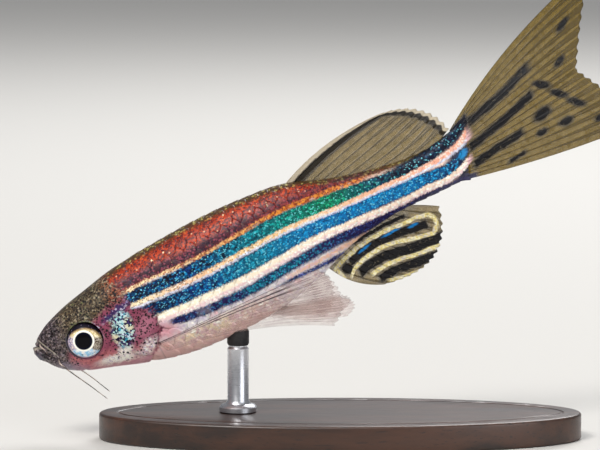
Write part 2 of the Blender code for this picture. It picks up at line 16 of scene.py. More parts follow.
import bpy
import numpy as np
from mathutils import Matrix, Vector


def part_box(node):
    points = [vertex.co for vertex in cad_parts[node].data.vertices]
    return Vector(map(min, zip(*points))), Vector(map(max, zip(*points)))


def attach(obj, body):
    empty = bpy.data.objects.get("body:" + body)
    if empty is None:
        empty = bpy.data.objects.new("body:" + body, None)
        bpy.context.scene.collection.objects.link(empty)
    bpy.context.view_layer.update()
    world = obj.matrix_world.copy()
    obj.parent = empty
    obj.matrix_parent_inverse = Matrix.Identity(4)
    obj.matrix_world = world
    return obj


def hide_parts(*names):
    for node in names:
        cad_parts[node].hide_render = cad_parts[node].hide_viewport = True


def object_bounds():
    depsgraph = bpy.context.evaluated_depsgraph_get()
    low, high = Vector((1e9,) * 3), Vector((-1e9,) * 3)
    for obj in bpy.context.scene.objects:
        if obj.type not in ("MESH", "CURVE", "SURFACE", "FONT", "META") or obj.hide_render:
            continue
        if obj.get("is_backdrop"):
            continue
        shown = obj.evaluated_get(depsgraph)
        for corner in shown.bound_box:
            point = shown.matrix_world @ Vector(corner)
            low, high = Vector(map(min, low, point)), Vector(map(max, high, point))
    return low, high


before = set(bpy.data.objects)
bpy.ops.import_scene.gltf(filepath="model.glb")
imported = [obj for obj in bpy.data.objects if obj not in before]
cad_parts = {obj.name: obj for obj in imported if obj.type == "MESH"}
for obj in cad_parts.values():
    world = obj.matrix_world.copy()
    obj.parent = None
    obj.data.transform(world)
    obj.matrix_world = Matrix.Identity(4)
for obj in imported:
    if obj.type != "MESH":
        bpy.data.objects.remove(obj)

log = logging.getLogger("danio")

MM = 0.001
MERGE_WITHIN = 1e-7
MERGE_TURNED_WITHIN = 1e-8
Array = np.ndarray
Points = Sequence[Sequence[float]]
Ways = tuple[Array, Array, Array]
Plan = Callable[[Array, Array], Array]
Socket = bpy.types.NodeSocket
Material = bpy.types.Material
Object = bpy.types.Object


class Side(Enum):
    """The fish's two sides, by the sign of q."""

    LEFT = -1
    RIGHT = 1

    @property
    def word(self) -> str:
        """The side's name as piece names spell it."""
        return self.name.lower()


class Tint(Enum):
    """Every paint of the model, as it would be mixed on a palette, from 0 to 255."""

    RUST = (176, 52, 16)
    BRICK = (132, 34, 16)
    EMBER = (206, 80, 32)
    MAROON = (74, 18, 18)
    GARNET = (104, 26, 20)
    UMBER = (44, 32, 24)
    HONEY = (98, 80, 54)
    TAN = (112, 102, 82)
    FAWN = (104, 88, 76)
    APRICOT = (246, 202, 138)
    PINK = (232, 190, 194)
    MAUVE = (76, 62, 74)
    MIDNIGHT = (0, 18, 58)
    PETROL = (0, 70, 104)
    LAGOON = (0, 120, 148)
    SEAGREEN = (20, 170, 160)
    CYAN = (20, 156, 216)
    OLIVE_EDGE = (72, 62, 24)
    PLUM = (52, 24, 44)
    AMBER = (212, 132, 42)
    CREAM = (255, 236, 190)
    SALMON = (246, 196, 158)
    ICE = (222, 236, 250)
    SKY = (150, 206, 236)
    WHITE = (255, 252, 240)
    INK = (4, 10, 34)
    NAVY = (2, 32, 84)
    COBALT = (0, 62, 142)
    AZURE = (0, 112, 178)
    TURQUOISE = (36, 172, 200)
    AQUA = (134, 228, 238)
    TEAL = (0, 112, 112)
    JADE = (24, 186, 128)
    INDIGO = (28, 18, 76)
    VIOLET = (70, 44, 128)
    LILAC = (200, 188, 210)
    PERIWINKLE = (96, 112, 196)
    SILVER = (226, 222, 228)
    BLUSH = (204, 124, 122)
    ROSE = (156, 76, 96)
    MAGENTA = (108, 42, 72)
    PEACH = (250, 196, 180)
    ORCHID = (206, 138, 158)
    CORAL = (240, 172, 144)
    LICHEN = (158, 152, 84)
    EMERALD = (4, 120, 86)
    CROWN = (62, 54, 44)
    STONE = (176, 160, 132)
    LAVENDER = (150, 140, 170)
    MOSS = (98, 106, 54)
    SNOUT = (56, 48, 46)
    SLATE = (62, 62, 84)
    BLACK = (6, 4, 8)
    LEMON = (234, 228, 190)
    YOLK = (208, 186, 84)
    STRAW = (130, 104, 8)
    KHAKI = (76, 60, 8)
    SMOKE = (84, 76, 58)
    GLASSY = (206, 196, 176)
    COCOA = (138, 98, 98)
    VEIL = (224, 198, 188)
    BRONZE = (150, 104, 42)
    GOLD = (208, 192, 140)
    FEELER = (190, 170, 158)
    WALNUT = (74, 42, 24)
    WALNUT_DARK = (34, 18, 10)
    STEEL = (196, 198, 202)
    RUBBER = (40, 38, 38)
    STUDIO = (206, 204, 200)

    @property
    def linear(self) -> tuple[float, float, float, float]:
        """The paint in the renderer's linear colours."""
        parts = [c / 255 for c in self.value]
        return (*(c / 12.92 if c <= 0.04045 else ((c + 0.055) / 1.055) ** 2.4 for c in parts), 1.0)


def smooth(rows: Points, at: Array) -> Array:
    """Reads a smooth curve through rows of numbers, whose first column rises.

    Args:
        rows: The rows that the curve passes through.
        at: Where to read, in the first column's unit.

    Returns:
        One row of the other columns for each value.
    """
    table = np.array(rows, float)
    x, last = table[:, 0], len(table) - 1
    before = np.maximum(np.arange(last + 1) - 1, 0)
    after = np.minimum(np.arange(last + 1) + 1, last)
    slopes = (table[after] - table[before]) / (x[after] - x[before])[:, None]
    at = np.clip(np.asarray(at, float), x[0], x[-1])
    k = np.clip(np.searchsorted(x, at) - 1, 0, last - 1)
    span = (x[k + 1] - x[k])[..., None]
    h = (at - x[k])[..., None] / span
    return (
        table[k] * (2 * h**3 - 3 * h**2 + 1)
        + table[k + 1] * (3 * h**2 - 2 * h**3)
        + slopes[k] * span * (h**3 - 2 * h**2 + h)
        + slopes[k + 1] * span * (h**3 - h**2)
    )[..., 1:]


def ease(low: float, high: float, x: Array) -> Array:
    """A smooth step from 0 at low to 1 at high."""
    share = np.clip((x - low) / (high - low), 0, 1)
    return share * share * (3 - 2 * share)


def bell(x: Array, width: float = 1.0) -> Array:
    """A smooth hump of height 1 round x = 0."""
    return np.exp(-((x / width) ** 2))


def rolls(far: Array, rows: Points) -> Array:
    """Ridges and grooves that follow a line. Each row is a distance from it, a half width and a height."""
    return sum(height * bell(far - at, width) for at, width, height in rows)


def unit(vectors: Array) -> Array:
    """The vectors brought to length 1."""
    return vectors / np.maximum(np.linalg.norm(vectors, axis=-1, keepdims=True), 1e-9)


def bezier(controls: Points, v: Array) -> Array:
    """The points at v on the cubic curve with four control points."""
    a, b, c, d = (np.array(p, float) for p in controls)
    v = v[..., None]
    return a * (1 - v) ** 3 + 3 * b * v * (1 - v) ** 2 + 3 * c * v**2 * (1 - v) + d * v**3


def between(ends: Points | tuple[float, float], v: Array) -> Array:
    """The straight way from the first of two ends, at 0, to the second, at 1."""
    first, last = (np.array(end, float) for end in ends)
    share = v[..., None] if first.ndim else v
    return first + (last - first) * share


def rounded(line: Points) -> Array:
    """An open line with its corners cut twice, so that it curves."""
    points = [np.array(p, float) for p in line]
    for _ in range(2):
        inner = [a + (b - a) * share for a, b in zip(points, points[1:]) for share in (0.25, 0.75)]
        points = [points[0], *inner[1:-1], points[-1]]
    return np.array(points)


def beside(line: Array, s: Array, t: Array) -> tuple[Array, Array, Array]:
    """How places in the plane of symmetry lie to an open line.

    Args:
        line: The line's points.
        s: The places' stations.
        t: The places' heights.

    Returns:
        The distance, negative on the line's right, the share of the way along it, and the bare distance.
    """
    best = np.full(s.shape, np.inf)
    signed, share = np.zeros(s.shape), np.zeros(s.shape)
    for k, (a, b) in enumerate(zip(line, line[1:])):
        along = b - a
        reach = np.clip(((s - a[0]) * along[0] + (t - a[1]) * along[1]) / (along @ along), 0, 1)
        off_s, off_t = s - a[0] - reach * along[0], t - a[1] - reach * along[1]
        far = np.hypot(off_s, off_t)
        nearer = far < best
        best = np.where(nearer, far, best)
        signed = np.where(nearer, far * np.sign(along[0] * off_t - along[1] * off_s), signed)
        share = np.where(nearer, (k + reach) / (len(line) - 1), share)
    return signed, share, best


@dataclass(frozen=True)
class Body:
    """The fish's plain form, in its own millimetres, before it is bent.

    Each row of stations is s, the back's height, the belly's height and the half width there.
    """

    stations: Points = (
        (-0.15, 0.02, -0.40, 0.22),
        (0.10, 0.26, -1.00, 0.52),
        (0.60, 0.66, -1.78, 0.86),
        (1.40, 1.15, -2.42, 1.20),
        (3.00, 1.78, -3.18, 1.70),
        (5.00, 2.34, -3.86, 2.05),
        (7.40, 2.95, -4.55, 2.28),
        (11.0, 3.44, -5.15, 2.36),
        (15.0, 3.80, -5.12, 2.26),
        (18.5, 3.84, -4.68, 2.05),
        (21.7, 3.60, -3.72, 1.70),
        (25.0, 2.56, -2.46, 1.28),
        (28.5, 1.82, -1.82, 0.98),
        (32.0, 1.55, -1.72, 0.78),
        (34.5, 2.00, -1.66, 0.52),
        (36.4, 2.50, -1.90, 0.36),
    )
    widest: float = 0.56
    fullness: float = 2.2
    gill_opening: Points = (
        (8.6, 5.0), (8.9, 2.2), (9.3, 0.2), (9.35, -1.8), (8.6, -3.5), (7.3, -4.6), (6.4, -6.0)
    )
    tail_end: Points = ((-3.8, 33.6), (-1.7, 34.45), (0.4, 35.2), (2.3, 35.85), (4.5, 36.1))
    wedge_start: float = 33.0
    wedge_power: float = 1.8
    hidden_end: float = 0.25
    eye: tuple[float, float, float] = (3.72, 1.15, -0.95)
    bend_start: float = 12.0
    bend_at_tail: float = 9.0
    tail_base: float = 35.0
    pitch: float = 23.8

    def section(self, s: Array) -> tuple[Array, Array, Array, Array]:
        """Back, belly, half width and widest level at stations."""
        back, belly, half = np.moveaxis(smooth(self.stations, s), -1, 0)
        return back, belly, half, belly + self.widest * (back - belly)

    def surface(self, s: Array, turn: Array, grow: float | Array = 0.0) -> Array:
        """Places on the plain skin.

        Args:
            s: The stations.
            turn: The way round the section, 0 on the back, positive on the fish's right.
            grow: How far outside the skin the places lie.

        Returns:
            The places as s, q, t.
        """
        back, belly, half, level = self.section(s)
        out, up = np.sin(turn), np.cos(turn)
        q = (half + grow) * np.sign(out) * np.abs(out) ** (2 / self.fullness)
        reach = np.where(up > 0, back - level, level - belly) + grow
        t = level + reach * np.sign(up) * np.abs(up) ** (2 / self.fullness)
        return np.stack([s + 0 * turn, q, t], axis=-1)

    def flank(self, s: Array, t: Array) -> Array:
        """How far out the plain skin lies at stations and heights."""
        back, belly, half, level = self.section(np.asarray(s, float))
        reach = np.where(t > level, back, belly) - level
        share = np.minimum(np.abs((t - level) / reach), 1.0)
        return half * (1 - share**self.fullness) ** (1 / self.fullness)

    def fin_root(self, t: Array) -> Array:
        """The station where the tail fin starts at heights."""
        return smooth(self.tail_end, t)[..., 0]

    def wedge(self, s: Array, end: float | Array) -> tuple[Array, Array]:
        """How far along the stalk's last stretch stations lie, and the share of its thickness left there."""
        share = np.clip((s - self.wedge_start) / (end - self.wedge_start), 0, 1)
        return share, 1 - share**self.wedge_power

    def bent(self, places: Array) -> Array:
        """Straight places bent towards the fish's right, still in its own millimetres."""
        s, q, t = np.moveaxis(places, -1, 0)
        slope = math.tan(math.radians(self.bend_at_tail)) / (self.tail_base - self.bend_start)
        past = np.maximum(s - self.bend_start, 0.0)
        turn = np.arctan(slope * past)
        return np.stack([s - q * np.sin(turn), slope * past**2 / 2 + q * np.cos(turn), t], axis=-1)

    def turned(self, places: Array) -> Array:
        """Bent places pitched head down, in metres, with the snout at the origin."""
        x, y, z = np.moveaxis(self.bent(places) * MM, -1, 0)
        a = math.radians(self.pitch)
        return np.stack([x * math.cos(a) - z * math.sin(a), y, x * math.sin(a) + z * math.cos(a)], axis=-1)

    def snout(self) -> Array:
        """Where the fish's own origin lies, worked out from the left eye's place in the frame."""
        low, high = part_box("eye_left")
        s, q, t = self.eye
        return np.array((low + high) / 2) - self.turned(np.array((s, -q, t)))

    def placed(self, places: Array) -> Array:
        """Straight places as they stand in the frame, in metres."""
        return self.turned(places) + self.snout()


BODY = Body()


class Workshop:
    """The bench: how a piece is begun, shaped, finished and handed over."""

    @staticmethod
    def clear_selection() -> None:
        """Leaves nothing selected."""
        bpy.ops.object.select_all(action="DESELECT")

    @staticmethod
    def take(obj: Object) -> Object:
        """Selects one object alone and makes it the active one."""
        Workshop.clear_selection()
        obj.select_set(True)
        bpy.context.view_layer.objects.active = obj
        return obj

    @staticmethod
    def start(name: str, add: Callable, **settings: object) -> Object:
        """Adds an object with one of the program's own tools and names it."""
        Workshop.clear_selection()
        add(**settings)
        obj = bpy.context.active_object
        obj.name = name
        obj.data.name = name
        return obj

    @staticmethod
    def edit(obj: Object, work: Callable[[], None]) -> None:
        """Opens a mesh for editing with all of it selected, does the work and closes it again."""
        Workshop.take(obj)
        bpy.ops.object.mode_set(mode="EDIT")
        bpy.ops.mesh.select_all(action="SELECT")
        work()
        bpy.ops.object.mode_set(mode="OBJECT")

    @staticmethod
    def settle(obj: Object) -> None:
        """Puts the object's own place, turn and scale into its mesh."""
        Workshop.take(obj)
        bpy.ops.object.transform_apply(location=True, rotation=True, scale=True)

    @staticmethod
    def apply(obj: Object, kind: str, **settings: object) -> None:
        """Adds a modifier with its settings and applies it."""
        Workshop.take(obj)
        modifier = obj.modifiers.new(kind.title(), kind)
        for key, value in settings.items():
            setattr(modifier, key, value)
        bpy.ops.object.modifier_apply(modifier=modifier.name)

    @staticmethod
    def heal(obj: Object, within: float) -> None:
        """Merges points that lie on one another, turns every face outwards and shades it smooth."""

        def work() -> None:
            """The two operators, in edit mode."""
            bpy.ops.mesh.remove_doubles(threshold=within)
            bpy.ops.mesh.select_all(action="SELECT")
            bpy.ops.mesh.normals_make_consistent(inside=False)

        Workshop.edit(obj, work)
        obj.data.shade_smooth()

    @staticmethod
    def turn_out(obj: Object) -> None:
        """Turns every face outwards."""
        Workshop.edit(obj, lambda: bpy.ops.mesh.normals_make_consistent(inside=False))

    @staticmethod
    def note(obj: Object, name: str, values: Array) -> None:
        """Writes a vector on each point of a mesh, for its material to read."""
        layer = obj.data.attributes.new(name, "FLOAT_VECTOR", "POINT")
        layer.data.foreach_set("vector", values.astype(np.float32).ravel())

    @staticmethod
    def points(obj: Object) -> Array:
        """A mesh's points, one row each."""
        co = np.empty(len(obj.data.vertices) * 3, np.float32)
        obj.data.vertices.foreach_get("co", co)
        return co.reshape(-1, 3).astype(float)

    @staticmethod
    def move(obj: Object, places: Array) -> None:
        """Puts a mesh's points at new places."""
        obj.data.vertices.foreach_set("co", places.astype(np.float32).ravel())
        obj.data.update()

    @staticmethod
    def sleeve(name: str, table: Array, notes: dict[str, Array]) -> Object:
        """A closed skin wrapped from a flat grid.

        Args:
            name: The piece's name.
            table: Places in metres by ring, then by the way round. The first and last rings fold shut.
            notes: Vectors by the same two, which the material reads.

        Returns:
            The piece.
        """
        rings, around = table.shape[:2]
        grid = {"x_subdivisions": rings - 1, "y_subdivisions": around, "size": 2}
        obj = Workshop.start(name, bpy.ops.mesh.primitive_grid_add, **grid)
        flat = Workshop.points(obj)
        ring = np.rint((flat[:, 0] + 1) / 2 * (rings - 1)).astype(int)
        way = np.rint((flat[:, 1] + 1) / 2 * around).astype(int) % around
        Workshop.move(obj, table[ring, way])
        for key, values in notes.items():
            Workshop.note(obj, key, values[ring, way])
        Workshop.heal(obj, MERGE_WITHIN)
        return obj

    @staticmethod
    def hand_over(obj: Object, material: Material, slot: str, nodes: Sequence[str]) -> None:
        """Dresses a finished piece, hangs it under the root empty and hides the frame's nodes that it takes
        the place of.

        Args:
            obj: The piece.
            material: Its finish.
            slot: Not used.
            nodes: The frame's nodes that it takes the place of.
        """
        obj.data.materials.clear()
        obj.data.materials.append(material)
        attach(obj, "root")
        if nodes:
            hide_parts(*nodes)
        log.info("%s: %d faces", obj.name, len(obj.data.polygons))


def once(method: Callable) -> Callable:
    """Lets a graph's method give the same nodes again when it is asked for the same thing.

    The renderer merges equal nodes and then works them out in an order that holds too many values at once.
    """

    @functools.wraps(method)
    def kept(graph: "Graph", *values: object, **settings: object) -> object:
        """Looks the wish up before it is met."""
        wish = (method.__name__, values, tuple(settings.items()))
        if wish not in graph.made:
            graph.made[wish] = method(graph, *values, **settings)
        return graph.made[wish]

    return kept


@dataclass(frozen=True)
class Value:
    """One output of a graph, which takes sums like a number."""

    graph: "Graph"
    socket: Socket

    def __add__(self, other: "Graded") -> "Value":
        """The sum."""
        return self.graph.math("ADD", self, other)

    def __radd__(self, other: float) -> "Value":
        """A number and the value."""
        return self.graph.math("ADD", other, self)

    def __sub__(self, other: "Graded") -> "Value":
        """The difference."""
        return self.graph.math("SUBTRACT", self, other)

    def __rsub__(self, other: float) -> "Value":
        """A number less the value."""
        return self.graph.math("SUBTRACT", other, self)

    def __mul__(self, other: "Graded") -> "Value":
        """The product."""
        return self.graph.math("MULTIPLY", self, other)

    def __truediv__(self, other: "Graded") -> "Value":
        """The quotient."""
        return self.graph.math("DIVIDE", self, other)

    def __abs__(self) -> "Value":
        """The value without its sign."""
        return self.graph.math("ABSOLUTE", self)


Graded = float | Value


class Graph:
    """A node tree and short ways to add to it."""

    def __init__(self, tree: bpy.types.NodeTree) -> None:
        """Takes the tree."""
        self.tree = tree
        self.made: dict[tuple, object] = {}

    def node(self, kind: str, **settings: object) -> bpy.types.Node:
        """A new node of a kind, with settings."""
        made = self.tree.nodes.new(kind)
        for key, value in settings.items():
            setattr(made, key, value)
        return made

    def put(self, socket: Socket, value: object) -> None:
        """Feeds a socket from a value of the graph, a paint or a plain number."""
        if isinstance(value, Value):
            self.tree.links.new(value.socket, socket)
        else:
            socket.default_value = value.linear if isinstance(value, Tint) else value

    def out(self, node: bpy.types.Node, key: int | str = 0) -> Value:
        """One output of a node."""
        return Value(self, node.outputs[key])

    def outs(self, node: bpy.types.Node) -> list[Value]:
        """All outputs of a node."""
        return [Value(self, socket) for socket in node.outputs]

    def fed(self, kind: str, inputs: dict[int | str, object], **settings: object) -> bpy.types.Node:
        """A new node of a kind, with its inputs fed."""
        made = self.node(kind, **settings)
        for key, value in inputs.items():
            self.put(made.inputs[key], value)
        return made

    @once
    def math(self, operation: str, a: Graded, b: Graded = 0.0, clamp: bool = False) -> Value:
        """One sum on one or two values."""
        return self.out(self.fed("ShaderNodeMath", {0: a, 1: b}, operation=operation, use_clamp=clamp))

    def product(self, *values: Graded) -> Graded:
        """All the values multiplied."""
        return functools.reduce(lambda total, value: self.math("MULTIPLY", total, value), values)

    @once
    def step(self, x: Graded, low: Graded, high: Graded) -> Value:
        """A smooth step from 0 at low to 1 at high, which may be the lower one."""
        ends = {"Value": x, "From Min": low, "From Max": high, "To Min": 0.0, "To Max": 1.0}
        made = self.fed("ShaderNodeMapRange", ends, interpolation_type="SMOOTHSTEP", clamp=False)
        return self.out(made, "Result")

    @once
    def scaled(self, x: Graded, low: float, high: float) -> Value:
        """A share from 0 to 1 spread from low to high."""
        ends = {"Value": x, "To Min": low, "To Max": high}
        return self.out(self.fed("ShaderNodeMapRange", ends, clamp=False), "Result")

    @once
    def mix(self, share: Graded, a: object, b: object) -> Value:
        """The second colour laid over the first."""
        made = self.fed("ShaderNodeMix", {"Factor": share, "A": a, "B": b}, data_type="RGBA")
        return next(value for value in self.outs(made) if value.socket.type == "RGBA")

    @once
    def split(self, vector: Value) -> list[Value]:
        """A vector's three parts."""
        return self.outs(self.fed("ShaderNodeSeparateXYZ", {0: vector}))

    @once
    def stretched(self, vector: Value, scale: Sequence[float]) -> Value:
        """A vector with each part multiplied by its own number."""
        return self.out(self.fed("ShaderNodeVectorMath", {0: vector, 1: tuple(scale)}, operation="MULTIPLY"))

    @once
    def read(self, name: str) -> Value:
        """A vector that was written on the piece."""
        made = self.node("ShaderNodeAttribute", attribute_type="GEOMETRY", attribute_name=name)
        return self.out(made, "Vector")

    def own(self) -> Value:
        """A place in the piece's own metres."""
        return self.out(self.node("ShaderNodeTexCoord"), "Object")

    @once
    def noise(self, at: Graded, scale: float, detail: float = 2.0, rough: float = 0.5) -> Value:
        """Soft mottling from 0 to 1."""
        grain = {"Vector": at, "Scale": scale, "Detail": detail, "Roughness": rough}
        return self.out(self.fed("ShaderNodeTexNoise", grain), "Fac")

    @once
    def cells(self, at: Graded, scale: float) -> tuple[Value, Value]:
        """Scattered cells: the distance from each one's heart, and one random value for each."""
        made = self.fed("ShaderNodeTexVoronoi", {"Vector": at, "Scale": scale}, feature="F1")
        return self.out(made, "Distance"), self.parts(self.out(made, "Color"))[0]

    @once
    def parts(self, colour: Value) -> list[Value]:
        """A colour's red, green and blue."""
        return self.outs(self.fed("ShaderNodeSeparateColor", {"Color": colour}))

    @once
    def shifted(self, at: Graded, scale: float, reach: float) -> Value:
        """A place pushed about by noise, so that cells read there lose their even outlines."""
        made = self.fed("ShaderNodeTexNoise", {"Vector": at, "Scale": scale, "Detail": 2.0})
        joined = self.fed("ShaderNodeCombineXYZ", dict(enumerate(self.parts(self.out(made, "Color")))))
        push = {0: self.out(joined), 1: (reach, reach, reach), 2: at}
        return self.out(self.fed("ShaderNodeVectorMath", push, operation="MULTIPLY_ADD"))

    @once
    def dots(self, at: Graded, scale: float, radius: float, share: Graded) -> Value:
        """Scattered round dots.

        Args:
            at: The place.
            scale: How many cells fit in a unit of length.
            radius: A dot's radius as a share of its cell.
            share: How many of the cells hold a dot.

        Returns:
            1 inside a dot.
        """
        far, draw = self.cells(at, scale)
        return self.step(far, radius * 1.35, radius * 0.65) * self.math("LESS_THAN", draw, share)

    @once
    def curve(self, x: Graded, points: Points, low: float, high: float) -> Value:
        """A smooth curve through a few points.

        Args:
            x: Where to read, from 0 to CHART_LENGTH.
            points: The points, x first.
            low: The least value that the chart holds.
            high: The greatest one.

        Returns:
            The value.
        """
        share = x / CHART_LENGTH
        made = self.node("ShaderNodeFloatCurve")
        line = made.mapping.curves[0]
        spots = [(px / CHART_LENGTH, (py - low) / (high - low)) for px, py in points]
        while len(line.points) < len(spots):
            line.points.new(0.5, 0.5)
        for point, spot in zip(line.points, spots):
            point.location = spot
        made.mapping.update()
        self.put(made.inputs["Value"], share)
        return self.scaled(self.out(made), low, high)

    @once
    def ramp(self, x: Graded, stops: Sequence[tuple[float, Tint]]) -> Value:
        """Paints blended along x from 0 to 1."""
        made = self.node("ShaderNodeValToRGB")
        band = made.color_ramp
        while len(band.elements) < len(stops):
            band.elements.new(0.5)
        for element, (place, tint) in zip(band.elements, stops):
            element.position = place
            element.color = tint.linear
        self.put(made.inputs[0], x)
        return self.out(made, "Color")

    def bump(self, height: Value, depth: float, strength: float = 1.0) -> Value:
        """A normal from a height, whose full step is depth in metres."""
        bump = {"Strength": strength, "Distance": depth, "Height": height}
        return self.out(self.fed("ShaderNodeBump", bump), "Normal")


CHART_LENGTH = 50.0
BODY_LENGTH = 40.0
CHART_LOW, CHART_HIGH = -8.0, 8.0


@dataclass(frozen=True)
class Stripe:
    """A band along the body: its middle line, its half width and how softly it ends."""

    line: Points
    half: float | Points
    ends: tuple[float, float] = (-1.0, 60.0)
    fade: float = 0.5
    soft: float = 0.25

    def off(self, g: Graph, s: Graded, t: Graded) -> Value:
        """How far a place lies above the middle line, counted in half widths."""
        middle = g.curve(s, self.line, CHART_LOW, CHART_HIGH)
        half = self.half if isinstance(self.half, float) else g.curve(s, self.half, 0.0, 2.0)
        return (t - middle) / half

    def cover(self, g: Graph, s: Graded, off: Graded) -> Value:
        """How much of the band covers a place that lies off its middle line."""
        across = g.step(abs(off), 1 + self.soft, 1 - self.soft)
        start, stop = self.ends
        return g.product(across, g.step(s, start, start + self.fade), g.step(s, stop + self.fade, stop))

    def mask(self, g: Graph, s: Graded, t: Graded) -> Value:
        """How much of the band covers a place."""
        return self.cover(g, s, self.off(g, s, t))


@dataclass(frozen=True)
class Patch:
    """An oval area: its middle, its two half lengths and its tilt in degrees."""

    middle: tuple[float, float]
    halves: tuple[float, float]
    tilt: float = 0.0
    soft: float = 0.4

    def mask(self, g: Graph, s: Graded, t: Graded) -> Value:
        """How much of the area covers a place."""
        off_s, off_t = s - self.middle[0], t - self.middle[1]
        c, d = math.cos(math.radians(self.tilt)), math.sin(math.radians(self.tilt))
        along = off_s * (c / self.halves[0]) + off_t * (d / self.halves[0])
        across = off_t * (c / self.halves[1]) - off_s * (d / self.halves[1])
        far = g.math("SQRT", along * along + across * across)
        return g.step(far, 1 + self.soft, 1 - self.soft)


LINE_A = Stripe(
    ((7.4, 1.14), (9.8, 1.30), (13.6, 1.36), (17.4, 1.72), (20.2, 1.99), (23.9, 1.85), (27.5, 1.58)),
    ((7.4, 0.13), (16.0, 0.14), (22.0, 0.17), (26.0, 0.15), (28.0, 0.10)),
    (7.0, 26.8),
    1.2,
    0.35,
)
BLUE_1 = Stripe(
    (
        (7.9, 0.62), (11.4, 0.63), (15.2, 0.87), (19.0, 1.22), (22.6, 1.16), (27.2, 0.95), (29.6, 0.86),
        (32.3, 1.14), (33.9, 1.47), (35.4, 2.07),
    ),
    ((8.0, 0.50), (14.0, 0.56), (20.0, 0.66), (25.0, 0.62), (29.0, 0.50), (35.0, 0.42)),
    (7.6, 36.0),
    0.5,
)
LINE_B = Stripe(
    (
        (7.9, 0.03), (11.0, -0.06), (13.0, -0.04), (16.0, 0.22), (20.5, 0.53), (24.2, 0.42), (28.0, 0.39),
        (31.3, 0.38), (34.2, 0.70), (35.6, 1.25),
    ),
    ((8.0, 0.24), (12.0, 0.25), (20.0, 0.24), (30.0, 0.23), (33.5, 0.26), (35.6, 0.42)),
    (7.4, 35.6),
    0.7,
    0.3,
)
BLUE_2 = Stripe(
    (
        (8.5, -0.62), (9.3, -0.80), (12.6, -0.78), (16.4, -0.62), (20.2, -0.28), (22.1, -0.16),
        (26.0, -0.26), (31.0, -0.36), (33.9, -0.33), (34.7, 0.03),
    ),
    ((8.5, 0.34), (9.3, 0.54), (14.0, 0.64), (20.0, 0.68), (27.0, 0.60), (34.0, 0.46)),
    (8.4, 34.7),
    0.5,
)
LINE_C = Stripe(
    (
        (9.3, -1.63), (12.2, -1.68), (16.0, -1.60), (19.7, -1.28), (21.7, -1.06), (25.4, -1.08),
        (29.0, -1.20), (31.0, -1.05), (33.4, -1.05), (34.8, -0.62),
    ),
    ((9.2, 0.34), (13.0, 0.36), (20.0, 0.32), (28.0, 0.26), (34.0, 0.24)),
    (9.0, 35.1),
    0.5,
    0.3,
)
BLUE_3 = Stripe(
    (
        (9.7, -2.06), (11.0, -2.34), (14.6, -2.46), (16.5, -2.42), (19.4, -2.06), (23.2, -1.76),
        (27.0, -1.80), (30.5, -1.66), (33.9, -1.70),
    ),
    ((9.7, 0.22), (12.0, 0.32), (20.0, 0.42), (26.0, 0.44), (34.0, 0.30)),
    (9.8, 35.0),
    0.5,
    0.35,
)
LINE_D = Stripe(((17.0, -2.75), (21.0, -2.64), (23.0, -2.49), (26.8, -2.30)), 0.15, (18.0, 26.5), 3.0, 0.5)
BLUE_4 = Stripe(((17.0, -3.15), (21.7, -3.01), (23.4, -2.96)), 0.17, (17.5, 23.6), 2.0, 0.6)
TAIL_SPOT = Patch((34.85, 0.14), (0.48, 0.26), 22.0)
DARK_LINE = Stripe(
    ((7.0, 1.66), (9.8, 1.78), (13.6, 1.84), (17.4, 2.20), (20.2, 2.42), (23.9, 2.26), (27.5, 1.95)),
    ((7.0, 0.36), (16.0, 0.40), (22.0, 0.30), (27.0, 0.2)),
    (6.2, 27.5),
    2.0,
    0.7,
)


@dataclass(frozen=True)
class Blue:
    """One blue stripe: its band, its paints along the body and how much of it is lit, a glow that is partly
    painted reflection.
    """

    stripe: Stripe
    deep: Tint
    body: tuple[tuple[float, Tint], ...]
    bright: tuple[tuple[float, Tint], ...]
    flash: Tint
    lit: Points
    whole_from: float = 0.0


